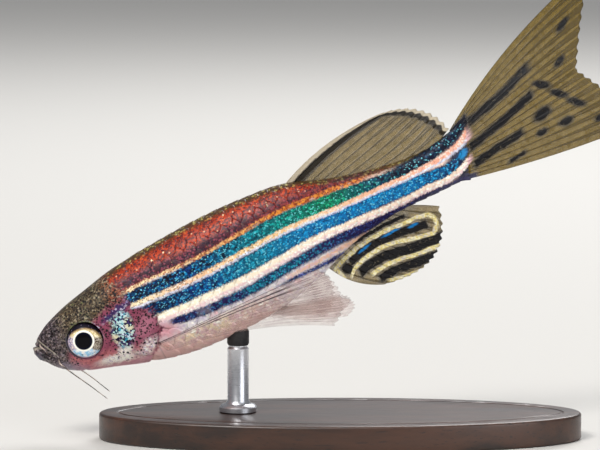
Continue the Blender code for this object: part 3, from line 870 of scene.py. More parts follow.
BLUES = (
    Blue(
        BLUE_1,
        Tint.INK,
        (
            (0.20, Tint.NAVY), (0.32, Tint.COBALT), (0.42, Tint.LAGOON), (0.50, Tint.TEAL),
            (0.60, Tint.EMERALD), (0.70, Tint.PETROL), (0.80, Tint.NAVY),
        ),
        (
            (0.22, Tint.AZURE), (0.34, Tint.CYAN), (0.42, Tint.TURQUOISE), (0.50, Tint.SEAGREEN),
            (0.61, Tint.JADE), (0.70, Tint.TEAL), (0.80, Tint.PETROL),
        ),
        Tint.AQUA,
        ((7.0, 0.34), (13.0, 0.48), (20.0, 0.72), (24.5, 0.90), (28.0, 0.55), (31.0, 0.25), (36.0, 0.1)),
    ),
    Blue(
        BLUE_2,
        Tint.MIDNIGHT,
        (
            (0.24, Tint.NAVY), (0.33, Tint.COBALT), (0.44, Tint.LAGOON), (0.56, Tint.AZURE),
            (0.76, Tint.AZURE), (0.86, Tint.NAVY),
        ),
        ((0.24, Tint.AZURE), (0.34, Tint.CYAN), (0.42, Tint.TURQUOISE), (0.54, Tint.CYAN), (0.76, Tint.CYAN)),
        Tint.AQUA,
        ((9.0, 0.36), (13.0, 0.55), (18.0, 1.0), (27.0, 1.0), (32.0, 0.7), (35.0, 0.3)),
    ),
    Blue(
        BLUE_3,
        Tint.INDIGO,
        (
            (0.24, Tint.NAVY), (0.34, Tint.VIOLET), (0.42, Tint.PETROL), (0.50, Tint.PETROL),
            (0.58, Tint.INDIGO), (0.80, Tint.VIOLET),
        ),
        (
            (0.24, Tint.COBALT), (0.40, Tint.TURQUOISE), (0.52, Tint.TURQUOISE), (0.64, Tint.COBALT),
            (0.85, Tint.VIOLET),
        ),
        Tint.PERIWINKLE,
        ((9.0, 0.35), (13.0, 0.30), (17.0, 0.70), (20.0, 0.65), (24.0, 0.25), (34.0, 0.2)),
        14.5,
    ),
    Blue(
        BLUE_4,
        Tint.INDIGO,
        ((0.4, Tint.PERIWINKLE), (0.6, Tint.PERIWINKLE)),
        ((0.4, Tint.TURQUOISE), (0.6, Tint.PERIWINKLE)),
        Tint.LILAC,
        ((17.0, 0.5), (24.0, 0.5)),
    ),
)


@dataclass(frozen=True)
class HeadMarks:
    """Where the head's own marks lie."""

    cheek: Patch = Patch((7.6, -0.7), (1.55, 1.5), -20.0, 0.5)
    chin: Patch = Patch((2.2, -2.75), (1.3, 0.45), -36.0, 0.7)
    # The next three patches place the painted sheen along the gill cover's lower edge.
    sheen: Patch = Patch((5.4, -3.22), (1.5, 0.36), -8.0, 0.6)
    sheen_end: Patch = Patch((6.1, -2.95), (0.7, 0.45), 30.0, 0.5)
    pearly_sheen: Patch = Patch((7.8, -3.25), (0.95, 0.48), 24.0, 0.6)
    streak: Patch = Patch((6.75, 0.12), (1.30, 0.30), 14.0, 0.4)
    metal: Patch = Patch((6.60, -1.30), (0.87, 1.38), -16.0, 0.22)
    metal_rear: Patch = Patch((7.25, -1.15), (0.35, 0.60))
    metal_front: Patch = Patch((5.70, -1.75), (0.45, 0.40))
    jaw: Patch = Patch((0.10, -0.78), (0.36, 0.17), -60.0, 0.7)
    lower_lip: Patch = Patch((0.85, -0.46), (1.0, 0.05), -60.0, 0.5)
    upper_lip: Patch = Patch((0.08, -0.20), (0.32, 0.08), -8.0, 0.6)
    corner: Patch = Patch((9.35, -2.55), (1.15, 0.62), -14.0, 0.7)
    end: Points = (
        (1.0, 6.2), (3.4, 7.3), (4.5, 8.6), (6.2, 9.3), (7.3, 9.15), (7.8, 8.0), (8.8, 7.7), (10.2, 7.2),
        (13.0, 6.6),
    )
    end_shift: float = 8.0


HEAD = HeadMarks()

# Grains: how many fit in a millimetre, and the draws between which they show. Most are dark or pale specks;
# BROAD_GRAINS are the head's painted sheen, and RARE_FLECKS are also the streak's painted glints.
FINE_SPECKS = (7.4, 0.62, 0.74)
RARE_GRAINS = (6.2, 0.66, 0.80)
RARE_FLECKS = (4.6, 0.72, 0.80)
SMALL_GRAINS = (6.6, 0.60, 0.76)
BROAD_GRAINS = (3.4, 0.35, 0.75)


class Markings:
    """The pattern that skin and scales share, as one group of nodes in the fish's own millimetres."""

    def __init__(self) -> None:
        """Builds the group."""
        self.tree = bpy.data.node_groups.new("Danio_markings", "ShaderNodeTree")
        sockets = self.tree.interface
        for name in ("Place", "Plate"):
            sockets.new_socket(name, in_out="INPUT", socket_type="NodeSocketVector")
        sockets.new_socket("Colour", in_out="OUTPUT", socket_type="NodeSocketColor")
        for name in ("Gleam", "Gloss", "Relief"):
            sockets.new_socket(name, in_out="OUTPUT", socket_type="NodeSocketFloat")
        self.g = Graph(self.tree)
        given = self.g.node("NodeGroupInput")
        self.place = self.g.out(given, "Place")
        self.s, _, self.t = self.g.split(self.place)
        self.plate_x, _, self.plate_draw = self.g.split(self.g.out(given, "Plate"))
        self.build()

    def wobbled(self) -> Value:
        """The height with a small unevenness, so that no stripe has a ruled edge."""
        g = self.g
        swing = g.noise(self.place, 1.1, 3.0, 0.6) - 0.5
        grain = g.noise(self.place, 7.0, 2.0, 0.7) - 0.5
        return self.t + (swing * 0.20 + grain * 0.34)

    def glitter(self, scale: float, low: float, high: float) -> Value:
        """Grains of uneven brightness that crowd over the skin.

        Args:
            scale: How many grains fit in a millimetre.
            low: The share of the grains that stay dark.
            high: The share beyond which they are fully lit.

        Returns:
            A grain's strength, from 0 to 1, for dark specks as well as painted glints.
        """
        g = self.g
        far, draw = g.cells(g.stretched(self.place, (1.0, 1.0, 1.15)), scale)
        return g.step(draw, low, high) * g.step(far, 0.78, 0.40)

    def back(self) -> Value:
        """The rust-red back with its net of darker scale rims and its bright specks, which are painted
        highlights.
        """
        g = self.g
        cloud = g.noise(self.place, 1.4, 3.0, 0.7)
        fire = g.mix(g.step(cloud, 0.30, 0.56), Tint.BRICK, Tint.RUST)
        fire = g.mix(self.glitter(4.6, 0.40, 0.80) * 0.70, fire, Tint.EMBER)
        fire = g.mix(self.rim() * 0.10, fire, Tint.MAROON)
        fire = g.mix(self.glitter(5.8, 0.42, 0.56) * 0.80, fire, Tint.MAROON)
        fire = g.mix(self.glitter(*FINE_SPECKS) * 0.85, fire, Tint.PLUM)
        # Painted highlights: scattered salmon specks.
        fire = g.mix(g.dots(self.place, 4.4, 0.30, 0.10) * 0.65, fire, Tint.SALMON)
        # Painted highlights: cream specks near each scale's free edge.
        lit = (g.step(self.plate_x, 0.80, 0.92), g.step(self.plate_draw, 0.50, 0.60))
        spark = g.product(*lit, g.dots(self.place, 2.6, 0.20, 0.7))
        return g.mix(spark * 0.9, fire, Tint.CREAM)

    def rim(self) -> Value:
        """1 along a scale's free edge and 0 on its middle and on bare skin."""
        return self.g.step(self.plate_x, 0.74, 0.98)

    def shimmer(self, core: Value, deep: Tint, body: Value, bright: Value, flash: Tint, lit: Value) -> Value:
        """A blue stripe's broken colour: its own blue, with a glow that is partly painted reflection and
        grains that are painted glints.

        Args:
            core: 1 in the stripe's middle, falling to 0 at its dark edges.
            deep: The dark ground.
            body: The stripe's own blue.
            bright: The colour of the painted glints.
            flash: The colour of the few brightest painted glints.
            lit: How much of the stripe glows, partly painted reflection, from 0 to 1.

        Returns:
            The colour.
        """
        g = self.g
        cloud = g.noise(g.stretched(self.place, (0.8, 1.0, 1.3)), 2.4, 3.0, 0.65)
        # The glow, partly painted reflection, lifts the dark ground to the stripe's blue.
        glow = g.step(cloud + (lit - 0.5) * 0.5, 0.40, 0.62)
        glow = glow * g.scaled(core, 0.12, 1.0)
        colour = g.mix(glow * 0.92, deep, body)
        share = g.scaled(glow, 0.42, 1.0)
        # Painted glints: lit grains in the stripe's bright colour.
        lights = g.product(self.glitter(5.8, 0.42, 0.70), share, g.scaled(core, 0.4, 1.0))
        colour = g.mix(lights, colour, bright)
        colour = g.mix(self.glitter(8.2, 0.52, 0.60) * 0.55, colour, deep)
        # Painted glints: the few brightest grains.
        sparks = self.glitter(8.6, 0.80, 0.90) * g.scaled(core, 0.35, 1.0) * 0.9
        colour = g.mix(sparks, colour, g.mix(0.6, bright, flash))
        return g.mix(self.rim() * 0.18, colour, Tint.INK)

    def mottle(self) -> Value:
        """Broad mottling of the head, from 0 to 1."""
        return self.g.noise(self.place, 2.6, 4.0, 0.65)

    def uneven(self) -> Value:
        """The height, shaken by the mottling."""
        return self.t + (self.mottle() - 0.5) * 0.9

    def dust(self) -> Value:
        """Fine mottling of the head, from 0 to 1."""
        return self.g.noise(self.place, 6.0, 3.0, 0.7)

    def on(self, patch: Patch) -> Value:
        """How much of a patch with an uneven edge covers a place."""
        return patch.mask(self.g, self.s, self.uneven())

    def crown(self) -> Value:
        """The speckled olive crown and the dark snout before it."""
        g, s, mottle, dust = self.g, self.s, self.mottle(), self.dust()
        crown = g.ramp(mottle, ((0.34, Tint.CROWN), (0.48, Tint.HONEY), (0.58, Tint.TAN), (0.68, Tint.MOSS)))
        crown = g.mix(g.step(s, 5.8, 7.6) * 0.50, crown, Tint.EMBER)
        crown = g.mix(g.step(dust, 0.60, 0.38), crown, Tint.UMBER)
        crown = g.mix(self.glitter(*RARE_GRAINS) * 0.6, crown, Tint.STONE)
        snout = g.ramp(dust, ((0.34, Tint.UMBER), (0.44, Tint.SNOUT), (0.54, Tint.MAUVE), (0.64, Tint.FAWN)))
        snout = g.mix(self.glitter(*SMALL_GRAINS) * 0.50, snout, g.mix(mottle, Tint.LAVENDER, Tint.STONE))
        return g.mix(g.step(s, 3.2, 1.6), crown, snout)

    def cheek(self, colour: Value) -> Value:
        """The pink cheek, the pale throat and the chin, laid over the crown's colour."""
        g, s, t, mottle, uneven = self.g, self.s, self.t, self.mottle(), self.uneven()
        below = g.step(uneven + s * 0.25, -0.6, -1.6)
        light = g.mix(mottle, Tint.MAGENTA, Tint.ROSE)
        cheek = g.mix(below, light, g.mix(g.step(mottle, 0.30, 0.70), Tint.ROSE, Tint.BLUSH))
        line = g.math("MINIMUM", s * 0.50 - 2.35, 0.62)
        low = g.step(uneven - line, 0.30, -0.30)
        colour = g.mix(low * g.step(s, 1.7, 2.6), colour, cheek)
        share = self.on(HEAD.cheek) * 0.85
        rear = g.step(s * 0.5 - t, 4.6, 6.4)
        colour = g.mix(share, colour, g.mix(rear, light, Tint.ORCHID))
        throat = g.step(uneven + s * 0.12, -2.6, -3.3) * g.step(s, 2.0, 4.0) * 0.85
        colour = g.mix(throat, colour, g.mix(mottle, Tint.ORCHID, Tint.PINK))
        return g.mix(self.on(HEAD.chin) * 0.6, colour, g.mix(mottle, Tint.MAUVE, Tint.LILAC))

    def silver(self, colour: Value) -> Value:
        """The silver sheen along the lower edge of the gill cover, painted as lilac and white grains."""
        g, dust = self.g, self.dust()
        glint = self.glitter(*BROAD_GRAINS)
        sheen = g.math("MAXIMUM", self.on(HEAD.sheen), self.on(HEAD.sheen_end))
        share = sheen * g.scaled(glint, 0.84, 1.0)
        colour = g.mix(share, colour, g.mix(g.step(dust, 0.34, 0.50), Tint.LILAC, Tint.WHITE))
        # Painted sheen: lilac and white grains on a second patch behind it.
        share = self.on(HEAD.pearly_sheen) * g.scaled(glint, 0.5, 0.95)
        return g.mix(share, colour, g.mix(g.step(dust, 0.40, 0.56), Tint.LILAC, Tint.WHITE))

    def speckled(self, colour: Value) -> Value:
        """The black dots of the head, which thin out downwards."""
        g, s = self.g, self.s
        bare = self.t + s * 0.06
        crowd = g.scaled(g.step(bare, -2.7, -0.7), 0.30, 0.85) + self.on(HEAD.cheek) * 0.2
        crowd = crowd * g.step(bare + g.step(s, 4.4, 6.0) * 0.9, -2.7, -1.8)
        bent = g.shifted(self.place, 5.0, 0.16)
        coarse = g.dots(bent, 4.0, 0.36, crowd)
        fine = g.dots(bent, 6.4, 0.40, crowd * 0.85)
        return g.mix(g.math("MAXIMUM", coarse, fine * 0.85), colour, Tint.BLACK)

    def metallic_and_glints(self, colour: Value) -> tuple[Value, Value]:
        """The dark streak with painted lilac glints, and the gill cover's patch of metallic chips whose
        brightest chips are painted glints; and where the patch lies.
        """
        g, s, t, mottle = self.g, self.s, self.t, self.mottle()
        streak = self.on(HEAD.streak)
        # Painted glints: lilac flecks on the dark streak.
        flecks = self.glitter(*RARE_FLECKS) * 0.8
        night = g.mix(flecks, g.mix(mottle * 0.7, Tint.INK, Tint.VIOLET), Tint.LILAC)
        colour = g.mix(streak * 0.92, colour, night)
        shaken = g.shifted(self.place, 4.0, 0.22)
        rough = self.uneven() + (g.noise(shaken, 1.4, 3.0, 0.7) - 0.5) * 1.5
        patch = HEAD.metal.mask(g, s, rough)
        pale = g.step(s * 1.2 - t, 7.4, 9.2)
        _, chip = g.cells(shaken, 5.4)
        _, spark = g.cells(shaken, 7.6)
        dim = g.step(chip, 0.38, 0.44)
        lit = g.mix(g.step(chip, 0.52, 0.60), Tint.PETROL, g.mix(pale, Tint.STONE, Tint.TURQUOISE))
        glow = g.mix(dim, Tint.INK, lit)
        # Painted glints: the brightest chips and sparks turn aqua, ice and white.
        glow = g.mix(g.step(chip, 0.76, 0.82), glow, g.mix(pale, Tint.AQUA, Tint.ICE))
        glow = g.mix(g.step(spark, 0.76, 0.82) * 0.9, glow, g.mix(mottle, Tint.AQUA, Tint.WHITE))
        glow = g.mix(g.step(spark, 0.26, 0.20) * 0.95, glow, g.mix(mottle, Tint.INK, Tint.VIOLET))
        sides = g.math("MAXIMUM", HEAD.metal_rear.mask(g, s, t), HEAD.metal_front.mask(g, s, t))
        glow = g.mix(sides * g.step(chip, 0.42, 0.50) * 0.9, glow, Tint.LEMON)
        return g.mix(patch * 0.96, colour, glow), patch

    def head(self, trunk: Value) -> tuple[Value, Value]:
        """The head's colours laid over the trunk's.

        Args:
            trunk: The colour behind the gill opening.

        Returns:
            The colour, and where the head's metallic patch lies.
        """
        g, s, t = self.g, self.s, self.t
        self.uneven()
        colour = self.speckled(self.silver(self.cheek(self.crown())))
        colour, patch = self.metallic_and_glints(colour)
        colour = g.mix(HEAD.jaw.mask(g, s, t) * 0.75, colour, Tint.SLATE)
        for lip in (HEAD.lower_lip, HEAD.upper_lip):
            colour = g.mix(lip.mask(g, s, t) * 0.48, colour, Tint.GLASSY)
        edge = g.curve(t + HEAD.end_shift, HEAD.end, 0.0, 16.0)
        ragged = s + (g.noise(self.place, 3.2, 3.0) - 0.5) * 1.5
        behind = g.step(ragged - edge, -0.2, 0.2)
        metal = (1.0 - behind) * patch
        return g.mix(behind, colour, trunk), metal

    def whole(self, start: float) -> Graded:
        """Gaps in a stripe ahead of a station; from there on it is whole."""
        g = self.g
        if start <= 0:
            return 1.0
        islands = g.step(g.noise(self.place, 1.5, 2.0), 0.40, 0.50)
        return g.scaled(g.math("MAXIMUM", islands, g.step(self.s, start - 1.5, start)), 0.84, 1.0)

    def sky(self, ground: Value, t: Graded, along: Graded) -> tuple[Value, Value]:
        """The blue stripes laid over the ground.

        Args:
            ground: The colour beneath.
            t: The uneven height.
            along: The share of BODY_LENGTH.

        Returns:
            The colour, and where the blue lies.
        """
        g, s = self.g, self.s
        total: Graded = 0.0
        colour = ground
        for job in BLUES:
            off = job.stripe.off(g, s, t)
            cover = job.stripe.cover(g, s, off) * self.whole(job.whole_from)
            core = g.step(abs(off), 1.0, 0.55)
            body, bright = g.ramp(along, job.body), g.ramp(along, job.bright)
            lit = g.curve(s, job.lit, 0.0, 1.0)
            colour = g.mix(cover, colour, self.shimmer(core, job.deep, body, bright, job.flash, lit))
            total = g.math("MAXIMUM", total, cover)
        return colour, total

    def pale(self, ground: Value, t: Graded, along: Graded) -> Value:
        """The pale lines between the blue stripes, laid over the ground."""
        g, s = self.g, self.s
        soft = g.noise(self.place, 2.4, 3.0, 0.65)
        grain = self.glitter(5.8, 0.35, 0.75)
        amber = g.ramp(
            along, ((0.2, Tint.CREAM), (0.34, Tint.APRICOT), (0.50, Tint.AMBER), (0.66, Tint.AMBER))
        )
        amber = g.mix(self.glitter(5.4, 0.40, 0.62) * 0.75, amber, g.mix(soft, Tint.EMBER, Tint.UMBER))
        amber = g.mix(self.glitter(*FINE_SPECKS) * 0.8, amber, Tint.GARNET)
        amber = g.mix(self.rim() * 0.5, amber, Tint.BRICK)
        line = LINE_A.mask(g, s, t) * g.scaled(g.step(g.noise(self.place, 1.9, 2.0), 0.32, 0.48), 0.45, 1.0)
        colour = g.mix(line, ground, amber)
        off = LINE_B.off(g, s, t)
        upper = g.ramp(
            along,
            (
                (0.2, Tint.CREAM), (0.3, Tint.SALMON), (0.45, Tint.APRICOT), (0.62, Tint.SALMON),
                (0.8, Tint.CORAL),
            ),
        )
        upper = g.mix(grain * 0.6, upper, Tint.WHITE)
        lower = g.mix(g.scaled(grain, 0.4, 1.0), Tint.LILAC, Tint.ICE)
        speck = self.glitter(*FINE_SPECKS) * g.scaled(g.step(s, 24.0, 14.0), 0.1, 0.6)
        paint = g.mix(speck, g.mix(g.step(off, 0.0, -0.7), upper, lower), Tint.UMBER)
        colour = g.mix(LINE_B.cover(g, s, off), colour, paint)
        off = LINE_C.off(g, s, t)
        upper = g.mix(
            g.scaled(grain, 0.45, 1.0), g.ramp(along, ((0.3, Tint.CREAM), (0.7, Tint.SALMON))), Tint.WHITE
        )
        lower = g.mix(g.scaled(grain, 0.2, 1.0), Tint.PINK, Tint.WHITE)
        colour = g.mix(LINE_C.cover(g, s, off), colour, g.mix(g.step(off, 0.2, -0.6), upper, lower))
        return g.mix(LINE_D.mask(g, s, t) * 0.85, colour, g.mix(grain, Tint.SALMON, Tint.PINK))

    def belly(self, t: Value, soft: Value) -> Value:
        """The silver belly, warmer below and behind the gill cover, with painted white glints."""
        g, s = self.g, self.s
        belly = g.ramp(soft, ((0.30, Tint.LILAC), (0.50, Tint.SILVER), (0.68, Tint.PINK)))
        under = g.step(t + soft * 0.8, -2.6, -3.3)
        front = g.step(s, 11.5, 9.0)
        warm = g.mix(g.step(soft, 0.4, 0.6), Tint.PINK, Tint.CREAM)
        warm = g.mix(front, warm, g.mix(soft, Tint.PINK, Tint.PEACH))
        warm = g.mix(g.step(s, 13.5, 16.5) * 0.6, warm, g.mix(soft, Tint.LILAC, Tint.BLUSH))
        belly = g.mix(under * g.step(s, 20.0, 15.0) * 0.9, belly, warm)
        # Painted glints: white grains over the belly, fewer towards the gill cover.
        light = self.glitter(5.0, 0.50, 0.80) * g.scaled(g.step(s, 9.6, 11.5), 0.2, 0.75)
        belly = g.mix(light, belly, Tint.WHITE)
        keel = g.step(t, -3.8, -4.7) * g.step(s, 19.0, 15.0) * 0.75
        belly = g.mix(keel, belly, g.mix(soft, Tint.PEACH, Tint.PINK))
        return g.mix(HEAD.corner.mask(g, s, t) * 0.8, belly, g.mix(soft, Tint.ORCHID, Tint.BLUSH))

    def ends(self, colour: Value, t: Value, soft: Value) -> Value:
        """The salmon rear, the dark end of the stalk and the collar behind the gill cover."""
        g, s = self.g, self.s
        colour = g.mix(g.step(s, 22.0, 27.0) * 0.6, colour, Tint.SALMON)
        last = g.step(s, 33.0, 34.0)
        upper = g.step(t, -1.7, -1.2)
        end = g.mix(upper, g.mix(soft, Tint.SLATE, Tint.KHAKI), g.mix(soft, Tint.INK, Tint.SLATE))
        colour = g.mix(last, colour, end)
        collar = g.step(s, 9.3, 8.6) * g.step(t, -0.95, -0.45)
        grain = self.glitter(4.6, 0.45, 0.60)
        return g.mix(collar, colour, g.mix(grain, Tint.PLUM, g.mix(soft, Tint.ORCHID, Tint.AZURE)))

    def upper(self, colour: Value, t: Value, soft: Value) -> Value:
        """The back, its olive edge and the dark line along its lower side."""
        g, s = self.g, self.s
        top = g.curve(s, LINE_A.line, CHART_LOW, CHART_HIGH)
        over = g.step(t - top, -0.1, 0.1) * g.step(s, 31.5, 29.0)
        colour = g.mix(over, colour, self.back())
        ridge = g.curve(s, tuple((row[0], row[1]) for row in BODY.stations[4:]), CHART_LOW, CHART_HIGH)
        near_top = ridge - t
        flecks = self.glitter(*RARE_FLECKS) * 0.9
        olive = g.mix(flecks, g.mix(soft, Tint.OLIVE_EDGE, Tint.UMBER), Tint.LICHEN)
        colour = g.mix(g.step(near_top, 0.52, 0.12) * 0.9, colour, olive)
        colour = g.mix(g.step(s, 28.5, 31.5) * g.step(near_top, 0.75, 0.3) * 0.8, colour, Tint.KHAKI)
        dark = DARK_LINE.mask(g, s, t)
        dark = dark * g.scaled(g.step(g.noise(self.place, 3.2, 3.0, 0.7), 0.34, 0.50), 0.78, 1.0)
        grains = self.glitter(*RARE_GRAINS) * 0.7
        plum = g.mix(grains, g.mix(self.glitter(7.0, 0.4, 0.5), Tint.PLUM, Tint.INK), Tint.ROSE)
        return g.mix(dark * g.scaled(g.step(s, 24.0, 14.0), 0.55, 0.95), colour, plum)

    def build(self) -> None:
        """Lays the layers over one another, from the belly up, and the head last."""
        g, s = self.g, self.s
        t = self.wobbled()
        along = s / BODY_LENGTH
        soft = g.noise(self.place, 1.6, 3.0, 0.6)
        colour = self.upper(self.ends(self.belly(t, soft), t, soft), t, soft)
        colour, blues = self.sky(colour, t, along)
        colour = g.mix(g.step(s, 28.0, 32.0) * g.step(t, -1.25, -1.5) * 0.65, colour, Tint.SLATE)
        colour = self.pale(colour, t, along)
        colour = g.mix(TAIL_SPOT.mask(g, s, t) * 0.92, colour, g.mix(soft, Tint.AZURE, Tint.CYAN))
        colour, patch = self.head(colour)
        gleam = g.math("MAXIMUM", blues * 0.40, patch * 0.45, clamp=True)
        grain = g.noise(self.place, 9.0, 3.0, 0.6)
        relief = grain * 0.5 + g.noise(self.place, 3.5, 3.0) * 0.5
        rings = g.math("SINE", self.plate_x * 40.0)
        relief = relief + rings * g.step(self.plate_x, 0.0, 0.05) * 0.10
        done = g.node("NodeGroupOutput")
        for socket, value in zip(done.inputs, (colour, gleam, g.scaled(grain, 0.36, 0.56), relief)):
            g.put(socket, value)


class Finish:
    """A material with one Principled shader."""

    def __init__(self, name: str) -> None:
        """Starts the material."""
        self.material = bpy.data.materials.new(name)
        self.material.use_nodes = True
        self.g = Graph(self.material.node_tree)
        self.shader = self.material.node_tree.nodes["Principled BSDF"]

    def give(self, **values: object) -> "Finish":
        """Feeds the shader's sockets, whose names have _ for a space."""
        for key, value in values.items():
            self.g.put(self.shader.inputs[key.replace("_", " ")], value)
        return self


@dataclass(frozen=True)
class SkinFinish:
    """Wet skin or scale: the shared markings under a clear coat."""

    coat: float = 0.20
    coat_roughness: float = 0.25
    sheen: float = 0.22
    relief: float = 0.00003

    def material(self, name: str, markings: Markings) -> Material:
        """The material, with the markings read from the piece's own places."""
        made = Finish(name)
        g = made.g
        group = g.node("ShaderNodeGroup", node_tree=markings.tree)
        g.put(group.inputs["Place"], g.read("place"))
        g.put(group.inputs["Plate"], g.read("plate"))
        colour, gleam, gloss, relief = g.outs(group)
        made.give(
            Base_Color=colour,
            Metallic=gleam,
            Roughness=gloss,
            Normal=g.bump(relief, self.relief),
            Specular_IOR_Level=self.sheen,
            Coat_Weight=self.coat,
            Coat_Roughness=self.coat_roughness,
        )
        return made.material


@dataclass(frozen=True)
class Form:
    """A soft oval swelling or hollow of the skin: its middle, its two half widths and its height."""

    s: float
    t: float
    half_s: float
    half_t: float
    height: float

    def lift(self, s: Array, t: Array) -> Array:
        """How far it raises the skin at stations and heights."""
        return self.height * bell(np.hypot((s - self.s) / self.half_s, (t - self.t) / self.half_t))


@dataclass(frozen=True)
class Skin:
    """The one skin of head, jaws, gill covers, trunk and stalk, with the head's forms raised in it."""

    rings_by_stretch: Points = ((-0.15, 1.4, 52), (1.4, 5.4, 66), (5.4, 10.0, 70), (10.0, 36.4, 150))
    around: int = 208
    cap_rings: int = 9
    cap_reach: float = 0.14
    mouth: Points = ((-0.35, 0.25), (-0.07, 0.0), (0.95, -1.38))
    lips: Points = ((0.0, 0.04, -0.15), (0.17, 0.09, 0.07), (0.36, 0.08, -0.03))
    jaw_back: Points = ((0.95, -1.38), (2.3, -2.52), (3.9, -4.4))
    jaw_groove: Points = ((0.0, 0.07, -0.07),)
    cover_rim: Points = (
        (9.0, 1.55), (7.4, 1.75), (6.4, 0.9), (6.0, -0.8), (6.1, -2.6), (6.9, -3.8), (8.0, -4.1)
    )
    cover_groove: Points = ((0.0, 0.09, -0.05),)
    cover_rise: float = 0.10
    gill_step: float = 0.24
    gill_tops: tuple[float, float] = (0.9, -0.3)
    gill_feet: tuple[float, float] = (-4.9, -4.2)
    nostrils: Points = ((1.55, 0.36, 0.17), (1.95, 0.55, 0.14))
    nostril_depth: float = 0.26
    nostril_rim: float = 0.06
    socket: float = 1.41
    socket_depth: float = 1.0
    brow: Points = ((1.60, 0.12, 0.05),)
    lower_lid: Points = ((1.86, 0.10, -0.04),)
    forms: tuple[Form, ...] = (
        Form(-0.02, -0.92, 0.45, 0.45, 0.22),
        Form(-0.22, -0.48, 0.30, 0.26, 0.16),
        Form(-0.30, -0.14, 0.16, 0.12, -0.10),
        Form(-0.10, 0.10, 0.30, 0.22, -0.13),
        Form(7.3, -1.6, 1.2, 1.8, 0.05),
    )
    shoulder: Form = Form(8.9, -3.7, 0.8, 0.9, 0.10)
    chin_fullness: float = 0.15

    def relief(self, places: Array) -> Array:
        """How far the head's forms raise or sink the plain skin, in millimetres."""
        s, _, t = np.moveaxis(places, -1, 0)
        eye_s, _, eye_t = BODY.eye
        _, share, far = beside(np.array(self.mouth), s, t)
        lift = rolls(far, self.lips) * ease(1.0, 0.93, share)
        _, share, far = beside(np.array(self.jaw_back), s, t)
        lift += rolls(far, self.jaw_groove) * ease(1.0, 0.8, share)
        far = np.hypot(s - eye_s, t - eye_t)
        lift += rolls(far, self.brow) - self.socket_depth * ease(self.socket, self.socket - 0.1, far)
        lift += rolls(far, self.lower_lid) * ease(0.4, -0.6, t - eye_t)
        lift += sum(form.lift(s, t) for form in self.forms)
        lift += self.chin_fullness * bell(s - 2.2, 1.9) * ease(-0.2 - 0.55 * s, -0.9 - 0.75 * s, t)
        lift += self.shoulder.lift(s, t) * ease(9.3, 8.8, s)
        for nostril_s, nostril_t, radius in self.nostrils:
            far = np.hypot(s - nostril_s, t - nostril_t)
            hole, rim = (0, radius * 0.8, -self.nostril_depth), (radius * 1.5, 0.06, self.nostril_rim)
            lift += rolls(far, (hole, rim))
        return lift + self.gill_relief(s, t)

    def gill_relief(self, s: Array, t: Array) -> Array:
        """The gill cover's raised plate, its rim and the step down behind its hind edge."""
        behind, _, _ = beside(rounded(BODY.gill_opening), s, t)
        tall = ease(*self.gill_tops, t) * ease(*self.gill_feet, t)
        step = np.where(behind > 0, np.exp(-np.maximum(behind, 0) / 0.45), np.exp(behind / 0.05) * 0.9)
        plate = np.where(behind < 0, 1 - np.exp(behind / 0.12), 0.0)
        inside, _, rim_far = beside(rounded(self.cover_rim), s, t)
        rise = self.cover_rise * plate * ease(-0.05, 0.25, inside) - self.gill_step * step
        return rise * tall + rolls(rim_far, self.cover_groove) * ease(9.0, 8.4, s)

    def rings(self) -> tuple[Array, Array]:
        """Each ring's station and how much of its section is left, from the closed snout on."""
        turns = np.linspace(math.pi / 2, 0, self.cap_rings, endpoint=False)
        front = self.rings_by_stretch[0][0]
        stations, shares = [front - self.cap_reach * np.sin(turns)], [np.cos(turns)]
        for low, high, count in self.rings_by_stretch:
            stretch = np.linspace(low, high, int(count), endpoint=high == self.rings_by_stretch[-1][1])
            stations.append(stretch)
            shares.append(np.ones(len(stretch)))
        return np.concatenate(stations), np.concatenate(shares)

    def table(self) -> tuple[Array, Array]:
        """The plain places and the raised ones, by ring and the way round."""
        stations, shares = self.rings()
        turns = np.linspace(0, math.tau, self.around, endpoint=False)
        s, turn = np.meshgrid(stations, turns, indexing="ij")
        plain = BODY.surface(s, turn)
        plain[..., 0] = s
        middle = plain.mean(axis=1, keepdims=True)
        plain[..., 1:] = middle[..., 1:] + (plain[..., 1:] - middle[..., 1:]) * shares[:, None, None]
        share, left = BODY.wedge(s, stations[-1])
        start = BODY.wedge_start
        end = BODY.fin_root(plain[..., 2]) + BODY.hidden_end
        plain[..., 0] = np.where(s > start, start + share * (end - start), plain[..., 0])
        plain[..., 1] *= left
        along = np.gradient(plain, axis=0)
        across = np.roll(plain, -1, axis=1) - np.roll(plain, 1, axis=1)
        normal = unit(np.cross(across, along))
        middle = len(stations) // 2
        outward = np.sign(np.sum(normal[middle, :, 1] * plain[middle, :, 1]))
        lift = self.relief(plain) * shares[:, None] ** 2
        return plain, plain + outward * normal * lift[..., None]

    def build(self, markings: Markings) -> Object:
        """Makes and dresses the skin."""
        plain, raised = self.table()
        notes = {"place": plain, "plate": np.zeros(plain.shape)}
        obj = Workshop.sleeve("skin", BODY.placed(raised), notes)
        nodes = ("head", "lower_jaw", "gill_cover_left", "gill_cover_right", "trunk", "tail_stalk")
        Workshop.hand_over(obj, SkinFinish().material("Wet_skin", markings), "body_skin", nodes)
        return obj


